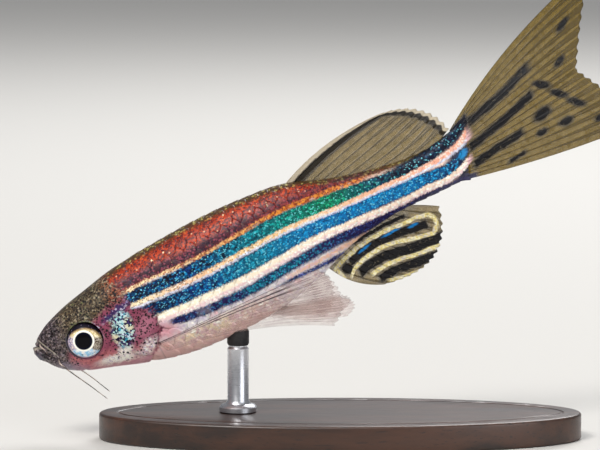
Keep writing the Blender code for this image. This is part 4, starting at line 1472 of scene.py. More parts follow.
@dataclass(frozen=True)
class Scales:
    """Overlapping scales in rows along the body, each a thin closed plate with its root under the skin."""

    spacing: float = 0.93
    length: float = 1.62
    row_front: float = 0.78
    row_tail: float = 0.52
    lift: float = 0.052
    dome: float = 0.022
    thickness: float = 0.034
    spokes: int = 22
    circles: int = 5
    first: float = 6.4
    last: float = 34.7
    rows: tuple[int, int] = (-9, 12)
    a_row: int = 34
    overlap: float = 2.05
    shrink: float = 0.12
    bluntness: float = 0.12
    crowding: float = 0.8
    root_depth: float = 0.05
    sunk: float = 0.08
    droop: float = 0.02
    scatter: float = 0.03
    seed: int = 7
    reach: float = 8.4
    sample_turns: int = 361
    sample_steps: int = 400
    sampled: tuple[float, float] = (6.0, 36.4)
    sample_stations: int = 200
    tail_limit: float = 36.2
    ridge_reach: float = 0.1
    tail_share: float = 0.75
    cover_top: float = 0.1
    crown_from: float = 1.9
    crown_start: float = 7.3
    crown_slant: float = 0.9
    patch: float = 0.003
    map_rows: float = 46.0
    coat: SkinFinish = SkinFinish(0.14, 0.30, 0.22, 0.00002)

    def ways_round(self, stations: Array) -> Ways:
        """Stations, even steps up from the widest level, and the turns of the section at both."""
        turns = np.radians(np.linspace(-75, 255, self.sample_turns))
        steps = np.linspace(-self.reach, self.reach, self.sample_steps)
        found = np.empty((len(stations), len(steps)))
        for k, station in enumerate(stations):
            ring = BODY.surface(np.full(turns.shape, station), turns)
            length = np.concatenate([[0], np.cumsum(np.linalg.norm(np.diff(ring, axis=0), axis=1))])
            level = np.interp(math.pi / 2, turns, length)
            found[k] = np.interp(-steps, length - level, turns)
        return stations, steps, found

    def row_height(self, s: Array) -> Array:
        """The distance between two rows, which close up towards the tail."""
        return self.row_front + (self.row_tail - self.row_front) * ease(17, 33, s)

    def roots(self) -> Array:
        """Each scale's root station and row, in staggered rows behind the head."""
        found = []
        for row in range(*self.rows):
            shift = self.spacing / 2 * (row % 2)
            for k in range(self.a_row):
                s = self.first + shift + k * self.spacing
                back, belly, half, level = (float(x) for x in BODY.section(np.array(s)))
                up = row * float(self.row_height(np.array(s + self.length / 2)))
                reach = (back if up > 0 else belly) - level
                room = 0.5 * math.pi * math.hypot(reach, half) / math.sqrt(2)
                if abs(up) > room + self.ridge_reach or s > self.last:
                    continue
                share = min(abs(up) / room, 1)
                t = level + reach * math.sin(share * math.pi / 2)
                before_fin = s + self.tail_share * self.length <= float(BODY.fin_root(np.array(t)))
                if before_fin and self.behind_head(s, t, share):
                    found.append((s, row))
        return np.array(found)

    def behind_head(self, s: float, t: float, share: float) -> bool:
        """Whether a root lies behind the gill cover and the bare crown, share of the way up to the back."""
        if t < self.cover_top:
            signed, _, _ = beside(rounded(BODY.gill_opening), np.array(s), np.array(t))
            return bool(signed > 0.0)
        return s > self.crown_start + (self.crown_slant * share if t >= self.crown_from else 0.0)

    def plates(self) -> tuple[Array, Array]:
        """One plate's points in its own plane: x from root to free edge, y across."""
        turns = np.linspace(0, math.tau, self.spokes, endpoint=False)
        rows = [(0.0, 0.0)]
        for circle in range(1, self.circles + 1):
            share = (circle / self.circles) ** self.crowding
            for turn in turns:
                blunt = 1 - self.bluntness * math.cos(turn) ** 2
                rows.append((share * math.cos(turn), share * math.sin(turn) * blunt))
        flat = np.array(rows)
        return (flat[:, 0] + 1) / 2, flat[:, 1] / 2

    def laid(self, roots: Array, jitter: Array, ways: Ways) -> tuple[Array, Array]:
        """Each plate's points on the plain skin, as s, q, t, and the skin's normals there.

        Args:
            roots: Each plate's root station and row.
            jitter: Its small shifts along and across, and its change of length.
            ways: The sampled stations and steps, and the turns at them.

        Returns:
            The places and the normals, by plate and point.
        """
        stations, steps, table = ways
        x, y = self.plates()
        height = self.row_height(roots[:, 0] + self.length / 2)
        length = self.length * (1 - self.shrink * ease(20, 33, roots[:, 0]))
        s = roots[:, :1] + jitter[:, :1] + x * (length * (1 + jitter[:, 2]))[:, None]
        row = roots[:, 1:] * self.row_height(s) + jitter[:, 1:2] + y * (height * self.overlap)[:, None]
        s = np.minimum(s, self.tail_limit)
        at = np.interp(s, stations, np.arange(len(stations)))
        step = np.interp(row, steps, np.arange(len(steps)))
        i = np.minimum(at.astype(int), len(stations) - 2)
        j = np.minimum(step.astype(int), len(steps) - 2)
        a, b = at - i, step - j
        low = table[i, j] * (1 - a) + table[i + 1, j] * a
        high = table[i, j + 1] * (1 - a) + table[i + 1, j + 1] * a
        turn = low * (1 - b) + high * b
        place = BODY.surface(s, turn)
        eps = 0.01
        normal = unit(np.cross(BODY.surface(s + eps, turn) - place, BODY.surface(s, turn + eps) - place))
        normal *= np.sign(np.sum(normal[..., 1] * place[..., 1]))
        place[..., 1] *= BODY.wedge(s, BODY.fin_root(place[..., 2]) + BODY.hidden_end)[1]
        return place, normal

    def build_side(self, side: Side, markings: Markings, ways: Ways) -> None:
        """Makes and dresses one side's scales as one piece."""
        x, y = self.plates()
        roots = self.roots()
        draw = np.random.default_rng(self.seed + side.value)
        jitter = draw.normal(0, self.scatter, (len(roots), 4))
        tint = draw.random(len(roots))
        place, normal = self.laid(roots, jitter, ways)
        radius = np.hypot(x * 2 - 1, y * 2)
        lift = (self.lift + self.root_depth) * x**1.2 - self.root_depth
        lift = lift + self.dome * (1 - np.minimum(radius, 1) ** 2) - self.droop * np.abs(y) * 2
        top = place + normal * lift[:, None]
        low = place + normal * (lift - self.thickness)[:, None]
        rim = np.arange(1 + (self.circles - 1) * self.spokes, len(x))
        pieces = np.concatenate([top, low[:, rim], place[:, :1] - normal[:, :1] * self.sunk], axis=1)
        mirror = (1, side.value, 1)
        faces = self.faces(len(x))
        firsts = np.arange(len(roots)) * pieces.shape[1]
        mesh = bpy.data.meshes.new(f"scales_{side.word}")
        places = BODY.placed((pieces * mirror).reshape(-1, 3))
        mesh.from_pydata(places.tolist(), [], (faces + firsts[:, None, None]).reshape(-1, 3).tolist())
        obj = bpy.data.objects.new(mesh.name, mesh)
        bpy.context.scene.collection.objects.link(obj)
        plate = np.stack(np.broadcast_arrays(np.maximum(x, radius * (x > 0.5)), y, tint[:, None]), axis=-1)
        for key, values in (("place", place * mirror), ("plate", plate)):
            values = np.concatenate([values, values[:, rim], values[:, :1]], axis=1)
            Workshop.note(obj, key, values.reshape(-1, 3))
        self.map_roots(obj, roots, self.corner_map(faces, x, y), side)
        Workshop.turn_out(obj)
        mesh.shade_smooth()
        Workshop.hand_over(obj, self.coat.material(f"Scale_{side.word}", markings), "body_skin", ())

    def faces(self, count: int) -> Array:
        """A plate's triangles: the domed top, its thin edge and the hidden underside."""
        n, found = self.spokes, []
        for k in range(n):
            found.append((0, 1 + k, 1 + (k + 1) % n))
        for circle in range(self.circles - 1):
            base = 1 + circle * n
            for k in range(n):
                a, b = base + k, base + (k + 1) % n
                found += [(a, a + n, b + n), (a, b + n, b)]
        edge = 1 + (self.circles - 1) * n
        for k in range(n):
            a, b = edge + k, edge + (k + 1) % n
            c, d = count + k, count + (k + 1) % n
            found += [(a, c, d), (a, d, b), (c, count + n, d)]
        return np.array(found)

    def corner_map(self, faces: Array, x: Array, y: Array) -> Array:
        """Where the corners of one plate's faces lie in its own patch of the map.

        The top is a disc with the thin edge as a ring round it, and the underside a smaller disc beside it.
        """
        top = np.stack([x - 0.5, y], axis=-1)
        rim = top[-self.spokes :]
        root = np.array([(0.0, 0.0)])
        upper = np.concatenate([top, rim * 1.12, root]) * self.patch * 0.62
        lower = np.concatenate([top, rim, rim.mean(axis=0, keepdims=True)]) * self.patch * 0.30
        upper, lower = upper - (self.patch * 0.19, 0), lower + (self.patch * 0.36, 0)
        below = (faces == len(top) + self.spokes).any(axis=1)
        return np.where(below[:, None, None], lower[faces], upper[faces])

    def map_roots(self, obj: Object, roots: Array, corners: Array, side: Side) -> None:
        """Gives each scale a small patch of the OFBake map, at its root's place on the unrolled skin."""
        across = 0.25 + 0.5 * (side is Side.RIGHT) + roots[:, 1] / self.map_rows
        centre = np.stack([roots[:, 0] / BODY_LENGTH, across], axis=-1)
        uv = centre[:, None, None] + corners[None]
        obj.data.uv_layers.new(name="OFBake").data.foreach_set("uv", uv.astype(np.float32).ravel())

    def build(self, markings: Markings) -> None:
        """Makes both sides' scales."""
        ways = self.ways_round(np.linspace(*self.sampled, self.sample_stations))
        for side in Side:
            self.build_side(side, markings, ways)


@dataclass(frozen=True)
class FinSheet:
    """A closed fin sheet from a plan in (s, t) and an offset in q, with rays raised on both faces."""

    name: str
    rays: int
    plan: Plan
    out: Plan
    columns_a_gap: int = 16
    rows: int = 90
    membrane: float = 0.035
    rise: tuple[float, float] = (0.085, 0.035)
    branch_at: float = 0.36
    branch_gap: float = 0.28
    splits: tuple[float, float] = (0.19, 0.095)
    outer_split: float = 0.03
    ray_width: float = 0.10
    ray_taper: float = 0.045
    flare: float = 0.07
    flare_reach: float = 0.05
    side_edge: float = 60.0
    end_edge: float = 30.0
    crowding: float = 0.92

    def crest(self, v: Array, h: Array) -> Array:
        """1 on a ray's crest and 0 on the membrane; each ray but the two outermost splits twice."""
        x = v * (self.rays - 1)
        ray = np.rint(x)
        outer = (ray == 0) | (ray == self.rays - 1)
        first = np.where(outer, self.outer_split, self.splits[0]) * ease(self.branch_at, 1.0, h)
        second = np.where(outer, 0.0, self.splits[1]) * ease(self.branch_at + self.branch_gap, 1.0, h)
        width = self.ray_width - self.ray_taper * h + self.flare * np.exp(-h / self.flare_reach)
        found = np.zeros(np.broadcast(v, h).shape)
        for one in (-1, 1):
            for two in (-1, 1):
                found = np.maximum(found, bell(x - ray - one * first - two * second, width))
        return found

    def build(self, mirror: bool = False) -> Object:
        """Makes the sheet, on the fish's right if mirrored."""
        columns = (self.rays - 1) * self.columns_a_gap + 1
        way = np.arange(2 * columns - 2)
        near = way < columns
        v_line = np.where(near, way, 2 * columns - 2 - way) / (columns - 1)
        face = np.where(near, 1.0, -1.0)
        h_line = np.linspace(0, 1, self.rows) ** self.crowding
        h, v = np.meshgrid(h_line, v_line, indexing="ij")
        step = 0.002

        def middle(vv: Array, hh: Array) -> Array:
            """The sheet's middle surface as s, q, t."""
            flat = self.plan(vv, hh)
            return np.stack([flat[..., 0], self.out(vv, hh) + 0 * vv, flat[..., 1]], axis=-1)

        v0, v1 = np.maximum(v - step, 0), np.minimum(v + step, 1)
        h0, h1 = np.maximum(h - step, 0), np.minimum(h + step, 1)
        normal = unit(np.cross(middle(v1, h) - middle(v0, h), middle(v, h1) - middle(v, h0)))
        crest = self.crest(v, h)
        nearest = np.minimum(np.minimum(v, 1 - v) * self.side_edge, (1 - h) * self.end_edge)
        edge = np.sqrt(np.clip(nearest, 0, 1))
        rise = self.rise[0] + (self.rise[1] - self.rise[0]) * h
        half = (self.membrane + rise * crest) * edge * (h > 0)
        place = middle(v, h)
        places = place + normal * (half * face[None, :])[..., None]
        if mirror:
            places, place = places * (1, -1, 1), place * (1, -1, 1)
        notes = {"place": place, "fin": np.stack([v * (self.rays - 1), h, crest], axis=-1)}
        return Workshop.sleeve(self.name, BODY.placed(places), notes)


def fin_plan(
    rays: int,
    root: Callable[[Array], Array],
    tip: Callable[[Array], Array],
    bow: Callable[[Array], Array],
    notch: float = 0.16,
) -> Plan:
    """The plan of a fin from where its rays start, where they end and how far they bow between.

    Args:
        rays: How many rays it has.
        root: The rays' starts by v, as s and t.
        tip: Their ends.
        bow: How far they bow to their left.
        notch: How far the membrane falls back between two ray ends.

    Returns:
        The plan, by v across the rays and h along them.
    """

    def plan(v: Array, h: Array) -> Array:
        """The place at v and h."""
        start, end = root(v), tip(v)
        length = np.linalg.norm(end - start, axis=-1)
        back = notch / length * (1 - np.cos(math.tau * v * (rays - 1))) / 2
        reach = h * (1 - back * h)
        along = (end - start) / length[..., None]
        side = np.stack([-along[..., 1], along[..., 0]], axis=-1)
        sweep = 4 * reach * (1 - reach) * bow(v)
        return start + (length * reach)[..., None] * along + sweep[..., None] * side

    return plan


@dataclass(frozen=True)
class FinPlace:
    """What a fin's material reads: the place, and where it lies on the body's plan and on the sheet."""

    g: Graph
    place: Value
    s: Value
    t: Value
    number: Value
    h: Value
    crest: Value
    cloud: Value

    @classmethod
    def read(cls, g: Graph) -> "FinPlace":
        """The readings, in a new graph."""
        place = g.read("place")
        s, _, t = g.split(place)
        number, h, crest = g.split(g.read("fin"))
        t = t + (g.noise(place, 1.3, 3.0, 0.6) - 0.5) * 0.30
        return cls(g, place, s, t, number, h, crest, g.noise(place, 2.0, 4.0, 0.6))

    def laid(
        self, colour: Value, cover: Value, mask: Value, tint: Tint | Value, strength: float
    ) -> tuple[Value, Value]:
        """A mark's paint laid over the colour, and the cover raised under it."""
        return self.g.mix(mask, colour, tint), self.g.math("MAXIMUM", cover, mask * strength)


@dataclass(frozen=True)
class FinPaint:
    """A fin's finish: clear membrane, tinted rays and the marks that run over both."""

    name: str
    membrane: Tint
    ray: Tint
    clear: float
    ray_cover: float
    dark: tuple[Stripe | Patch, ...] = ()
    pale: tuple[Stripe | Patch, ...] = ()
    blue: tuple[Stripe | Patch, ...] = ()
    carried: tuple[tuple[Stripe, Tint], ...] = ()
    margin: bool = False
    leading: bool = False
    flesh: Tint = Tint.KHAKI
    rooted: float = 0.92
    rods: tuple[float, float] = (0.25, 0.70)
    ripe: float = 0.05
    gilt: tuple[Tint, Tint, Tint, Tint] = (Tint.GLASSY, Tint.YOLK, Tint.LEMON, Tint.GLASSY)

    def marked(self, at: FinPlace, colour: Value, cover: Value) -> tuple[Value, Value]:
        """The stripes that run on from the body, and the fin's own marks, laid over colour and cover."""
        g = at.g
        for stripe, tint in self.carried:
            mask = stripe.mask(g, at.s, at.t)
            colour, cover = at.laid(colour, cover, mask, tint, 0.95)
        stops = tuple(zip((0.40, 0.47, 0.53, 0.62), self.gilt))
        gilt = g.ramp(g.noise(at.place, 2.6, 3.0, 0.7), stops)
        kinds = ((self.dark, Tint.BLACK, 0.97), (self.pale, gilt, 0.96), (self.blue, Tint.AZURE, 0.9))
        for marks, tint, strength in kinds:
            if not marks:
                continue
            mask: Graded = 0.0
            for mark in marks:
                mask = g.math("MAXIMUM", mask, mark.mask(g, at.s, at.t))
            broken = g.scaled(g.step(g.noise(at.place, 4.0, 2.0), 0.28, 0.42), 0.8, 1.0)
            colour, cover = at.laid(colour, cover, mask * broken, tint, strength)
        return colour, cover

    def edged(self, at: FinPlace, colour: Value, cover: Value) -> tuple[Value, Value]:
        """A dark band with a pale edge outside it along the free rim."""
        g = at.g
        inside = g.math("MINIMUM", (1.0 - at.h) * 8.0, at.number * 0.36)
        inside = inside + (at.cloud - 0.5) * 0.20
        black = g.step(inside, 0.86, 0.62) * g.step(inside, 0.24, 0.34)
        white = g.step(inside, 0.34, 0.24)
        colour = g.mix(black * 0.94, colour, Tint.BLACK)
        colour = g.mix(white, colour, g.mix(at.cloud, Tint.STONE, Tint.GLASSY))
        return colour, g.math("MAXIMUM", cover, g.math("MAXIMUM", black, white) * 0.94)

    def led(self, at: FinPlace, colour: Value, cover: Value) -> tuple[Value, Value]:
        """Bold leading rays with white glints below them."""
        g, number, h = at.g, at.number, at.h
        lines = g.scaled(g.step(h, 0.12, 0.34), 1.3, 2.5)
        front = g.step(number - lines, 0.0, -0.4) * g.step(h, 0.95, 0.70)
        bold = front * g.step(at.crest, 0.10, 0.45)
        colour = g.mix(bold * 0.92, colour, Tint.INK)
        cover = g.math("MAXIMUM", cover, bold * 0.92)
        across = (g.step(number, 2.2, 2.6), g.step(number, 5.2, 4.2))
        along = g.product(*across, g.step(h, 0.10, 0.20), g.step(h, 0.80, 0.60))
        glint = along * g.dots(g.stretched(at.place, (0.45, 1.0, 1.0)), 2.4, 0.34, 0.50)
        return at.laid(colour, cover, glint, Tint.WHITE, 0.85)

    def material(self) -> Material:
        """The fin's material."""
        made = Finish(self.name)
        g = made.g
        at = FinPlace.read(g)
        colour = g.mix(g.step(at.cloud, 0.3, 0.7) * 0.5, self.membrane, self.ray)
        joints = g.step(g.math("SINE", at.h * 210.0), 0.75, 0.95)
        rod = g.step(at.crest, *self.rods)
        colour = g.mix(rod, colour, g.mix(joints * 0.45, self.ray, Tint.SMOKE))
        grown = g.scaled(g.step(at.h, 0.04, self.ripe), 0.3, 1.0)
        cover = grown * (self.clear + rod * (self.ray_cover - self.clear))
        cover = cover + (at.cloud - 0.5) * 0.25
        flesh = g.step(at.h, 0.09, 0.0)
        colour = g.mix(flesh * 0.85, colour, self.flesh)
        cover = g.math("MAXIMUM", cover, flesh * self.rooted)
        colour, cover = self.marked(at, colour, cover)
        if self.margin:
            colour, cover = self.edged(at, colour, cover)
        if self.leading:
            colour, cover = self.led(at, colour, cover)
        made.give(
            Base_Color=colour,
            Alpha=g.math("MINIMUM", cover, 1.0),
            Roughness=g.scaled(at.cloud, 0.25, 0.45),
            Normal=g.bump(at.crest + joints * 0.3, 0.00002),
            Specular_IOR_Level=0.25,
            Coat_Weight=0.15,
            Coat_Roughness=0.2,
        )
        return made.material


@dataclass(frozen=True)
class FinSize:
    """A fin's rays: how many, where the first and last start, how they bow and the curve of their tips."""

    rays: int
    roots: Points | tuple[float, float]
    bows: tuple[float, float]
    tips: Points

    def plan(self, root: Callable[[Array], Array] | None = None) -> Plan:
        """The fin's plan, with the rays' starts on a straight line where root doesn't say otherwise."""
        return fin_plan(
            self.rays,
            root or (lambda v: between(self.roots, v)),
            lambda v: bezier(self.tips, v),
            lambda v: between(self.bows, v),
        )


@dataclass(frozen=True)
class Fins:
    """All seven fins, from the same sizes as their solids."""

    sunk: float = 0.55
    back: FinSize = FinSize(
        11, (21.1, 27.6), (0.62, -0.8), ((30.0, 5.4), (32.2, 5.5), (34.3, 4.35), (34.65, 2.28))
    )
    vent: FinSize = FinSize(
        15, (22.1, 28.5), (-0.55, 0.1), ((25.6, -6.35), (29.0, -7.0), (31.2, -6.0), (31.7, -2.7))
    )
    breast: FinSize = FinSize(
        12,
        ((8.3, -3.3), (8.7, -4.15)),
        (0.1, 0.75),
        ((21.5, -2.75), (22.6, -4.4), (22.6, -6.3), (20.9, -7.2)),
    )
    belly: FinSize = FinSize(
        8,
        ((16.5, -4.7), (17.8, -4.6)),
        (-0.3, -0.15),
        ((22.1, -7.1), (23.3, -6.9), (23.2, -6.2), (22.1, -5.7)),
    )
    breast_shoulder: float = 1.25
    breast_stand: float = 22.0
    breast_spread: tuple[float, float, float] = (2.2, 0.5, 0.25)
    belly_out: tuple[float, float] = (0.95, 0.5)
    belly_spread: tuple[float, float] = (1.35, 0.75)
    caudal_rays: int = 19
    caudal_lobes: float = 1.15
    caudal_wave: float = 0.5
    caudal_base: Points = ((35.85, 2.3), (35.2, 0.4), (34.45, -1.7))
    caudal_inset: tuple[float, float] = (-0.1, -0.15)
    caudal_sunk: float = 1.1
    caudal_fork: tuple[float, float] = (45.2, 2.3)
    caudal_bows: tuple[float, float] = (0.74, -0.3)
    caudal_tips: Points = ((49.2, 8.95), (48.4, -3.4))

    def upright(self, name: str, size: FinSize, ridge: int, lean: float, columns: int) -> FinSheet:
        """A fin that stands on the back, whose ridge is 0, or on the belly, whose ridge is 1."""

        def root(v: Array) -> Array:
            """Along the ridge, sunk under the skin."""
            s = between(size.roots, v)
            return np.stack([s, BODY.section(s)[ridge] + self.sunk * (2 * ridge - 1)], axis=-1)

        return FinSheet(
            name, size.rays, size.plan(root), lambda v, h: lean * np.sin(np.pi * v) * h**2, columns
        )

    def caudal(self) -> FinSheet:
        """The forked tail fin, whose rays fan out from the slanting end of the stalk."""
        top, middle, bottom = (np.array(p) for p in self.caudal_base)
        inset = np.array(self.caudal_inset)

        def root(v: Array) -> Array:
            """Along the slanting end, inside the stalk."""
            w = v[..., None]
            edge = (1 - w) ** 2 * (top + inset) + 2 * w * (1 - w) * middle + w**2 * (bottom - inset)
            return edge - (self.caudal_sunk, 0)

        def tip(v: Array) -> Array:
            """From the upper lobe into the fork and out to the lower one."""
            fork, upper, lower = (np.array(p, float) for p in (self.caudal_fork, *self.caudal_tips))
            lobe = np.where((v < 0.5)[..., None], upper, lower)
            return fork + (lobe - fork) * (np.abs(2 * v - 1) ** self.caudal_lobes)[..., None]

        def bow(v: Array) -> Array:
            """Each lobe's rays bow outwards."""
            upper, lower = self.caudal_bows
            return upper * np.maximum(1 - 2 * v, 0) + lower * np.maximum(2 * v - 1, 0)

        plan = fin_plan(self.caudal_rays, root, tip, bow)
        return FinSheet(
            "caudal_fin_sheet",
            self.caudal_rays,
            plan,
            lambda v, h: self.caudal_wave * np.sin(math.tau * v) * h**2,
            16,
            110,
        )

    def pectoral(self, side: Side) -> FinSheet:
        """The fin behind the gill cover: it stands out from the skin and then lies back along the belly."""
        size = self.breast

        def out(v: Array, h: Array) -> Array:
            """How far out the sheet lies, on the left."""
            start = between(size.roots, v)
            skin = BODY.flank(start[..., 0], start[..., 1])
            shoulder = self.breast_shoulder * (1 - np.exp(-self.breast_stand * h))
            wide, narrower, hollow = self.breast_spread
            return -(skin - 0.5 + shoulder + (wide - narrower * v + hollow * np.sin(np.pi * v)) * h)

        name = f"pectoral_fin_{side.word}_sheet"
        return FinSheet(name, size.rays, size.plan(), out, 14, 110, 0.03, (0.06, 0.025), 0.5)

    def pelvic(self, side: Side) -> FinSheet:
        """The small fin under the belly."""

        def out(v: Array, h: Array) -> Array:
            """How far out the sheet lies, on the left."""
            (start, less), (spread, narrower) = self.belly_out, self.belly_spread
            return -(start - less * v + (spread - narrower * v) * h)

        return FinSheet(f"pelvic_fin_{side.word}_sheet", self.belly.rays, self.belly.plan(), out, 14, 60)

    def build(self) -> None:
        """Makes and dresses the seven fins."""
        caudal_dark = (
            Stripe(
                ((35.8, 1.98), (38.2, 2.65), (39.4, 3.02), (40.4, 3.42), (41.4, 3.85), (43.2, 4.35)), 0.38,
                (35.4, 41.6), 1.0, 0.4,
            ),
            Stripe(((35.0, 0.18), (36.8, 0.68), (38.7, 1.18), (41.4, 2.14)), 0.34, (35.0, 41.2), 0.7, 0.4),
            Stripe(((34.8, -1.12), (37.0, -0.60), (39.5, -0.24), (41.0, 0.1)), 0.32, (34.9, 39.4), 0.6, 0.4),
            Stripe(((36.6, -1.98), (38.6, -1.78), (39.6, -1.6)), 0.18, (37.4, 39.0), 0.6, 0.5),
            Patch((41.45, 0.38), (0.84, 0.46), 14.0),
            Patch((42.85, -0.85), (0.65, 0.34), 0.0),
            Patch((40.90, -0.85), (0.50, 0.30), 4.0),
            Patch((42.30, 2.40), (0.75, 0.32), -30.0),
            Patch((43.20, 1.25), (0.80, 0.30), -40.0),
            Patch((44.10, 0.15), (0.80, 0.30), -40.0),
            Patch((44.3, 3.4), (0.60, 0.26), 24.0),
            Patch((45.4, -1.7), (0.60, 0.26), -6.0),
            Patch((45.6, 5.8), (0.75, 0.26), 30.0),
        )
        anal_pale = (
            Stripe(
                ((22.6, -3.9), (24.5, -3.12), (27.3, -2.70), (28.8, -2.76), (29.9, -2.80), (31.5, -3.2)),
                0.16, (22.4, 30.5), 0.3,
            ),
            Stripe(
                ((23.6, -4.78), (24.9, -4.02), (27.0, -3.74), (28.4, -3.98), (30.1, -4.28), (31.2, -4.2)),
                0.16, (23.4, 30.4), 0.3,
            ),
            Stripe(
                ((25.0, -5.30), (27.1, -5.06), (28.7, -5.28), (30.4, -5.33), (31.5, -5.3)), 0.16,
                (24.8, 31.4), 0.4,
            ),
            Stripe(((25.8, -6.15), (27.0, -6.36), (28.3, -6.46), (29.6, -6.33)), 0.13, (25.8, 30.0), 0.4),
            Patch((30.84, -3.12), (0.42, 0.17), -50.0),
            Patch((30.98, -3.62), (0.17, 0.42), 0.0),
            Patch((30.72, -4.08), (0.42, 0.17), 45.0),
            Patch((22.95, -4.35), (0.16, 0.62), 18.0),
        )
        anal_dark = (
            Stripe(
                ((23.0, -4.5), (24.5, -3.60), (27.3, -3.22), (28.8, -3.36), (30.5, -3.52)), 0.36,
                (23.6, 30.2), 0.4, 0.3,
            ),
            Stripe(
                ((24.0, -5.0), (26.0, -4.44), (28.0, -4.62), (30.0, -4.80), (31.2, -4.8)), 0.42,
                (24.0, 31.0), 0.4, 0.3,
            ),
            Stripe(((25.6, -5.8), (27.0, -5.72), (29.0, -5.86), (30.6, -5.9)), 0.36, (25.2, 30.8), 0.4, 0.3),
            Stripe(
                ((24.0, -2.75), (26.0, -2.42), (28.0, -2.28), (29.6, -2.32)), 0.15, (24.2, 28.8), 0.8, 0.4
            ),
            Patch((23.55, -4.12), (0.50, 0.52), 30.0),
        )
        anal_blue = (
            Patch((25.3, -3.28), (0.55, 0.10), 16.0),
            Patch((27.6, -3.0), (0.75, 0.10), 4.0),
            Patch((29.3, -3.2), (0.4, 0.1)),
        )
        ends = (
            (BLUE_1, Tint.INK),
            (LINE_B, Tint.PINK),
            (BLUE_2, Tint.NAVY),
            (LINE_C, Tint.PINK),
            (BLUE_3, Tint.SLATE),
        )
        olive = {"membrane": Tint.STRAW, "ray": Tint.KHAKI}
        back = FinPaint("Back_fin", clear=0.66, ray_cover=0.78, margin=True, **olive)
        vent = FinPaint(
            "Vent_fin", clear=0.62, ray_cover=0.82, dark=anal_dark, pale=anal_pale, blue=anal_blue, **olive
        )
        tail = FinPaint(
            "Tail_fin", clear=0.74, ray_cover=0.86, dark=caudal_dark, blue=(TAIL_SPOT,), carried=ends, **olive
        )
        jobs = (
            (self.upright("dorsal_fin_sheet", self.back, 0, 0.35, 18), back, "fin_membrane", "dorsal_fin"),
            (self.upright("anal_fin_sheet", self.vent, 1, -0.3, 14), vent, "anal_fin_membrane", "anal_fin"),
            (self.caudal(), tail, "caudal_fin_membrane", "caudal_fin"),
        )
        for sheet, paint, slot, node in jobs:
            Workshop.hand_over(sheet.build(), paint.material(), slot, (node,))
        veil = {
            "membrane": Tint.VEIL,
            "ray": Tint.COCOA,
            "flesh": Tint.PEACH,
            "rooted": 0.2,
            "rods": (0.55, 0.95),
            "ripe": 0.5,
        }
        paired = FinPaint("Breast_fin", clear=0.18, ray_cover=0.60, leading=True, **veil).material()
        pelvic = FinPaint("Belly_fin", clear=0.20, ray_cover=0.50, **veil).material()
        for side in Side:
            mirror = side is Side.RIGHT
            pairs = (("pectoral", self.pectoral(side), paired), ("pelvic", self.pelvic(side), pelvic))
            for kind, sheet, paint in pairs:
                nodes = (f"{kind}_fin_{side.word}",)
                Workshop.hand_over(sheet.build(mirror), paint, "paired_fin_membrane", nodes)


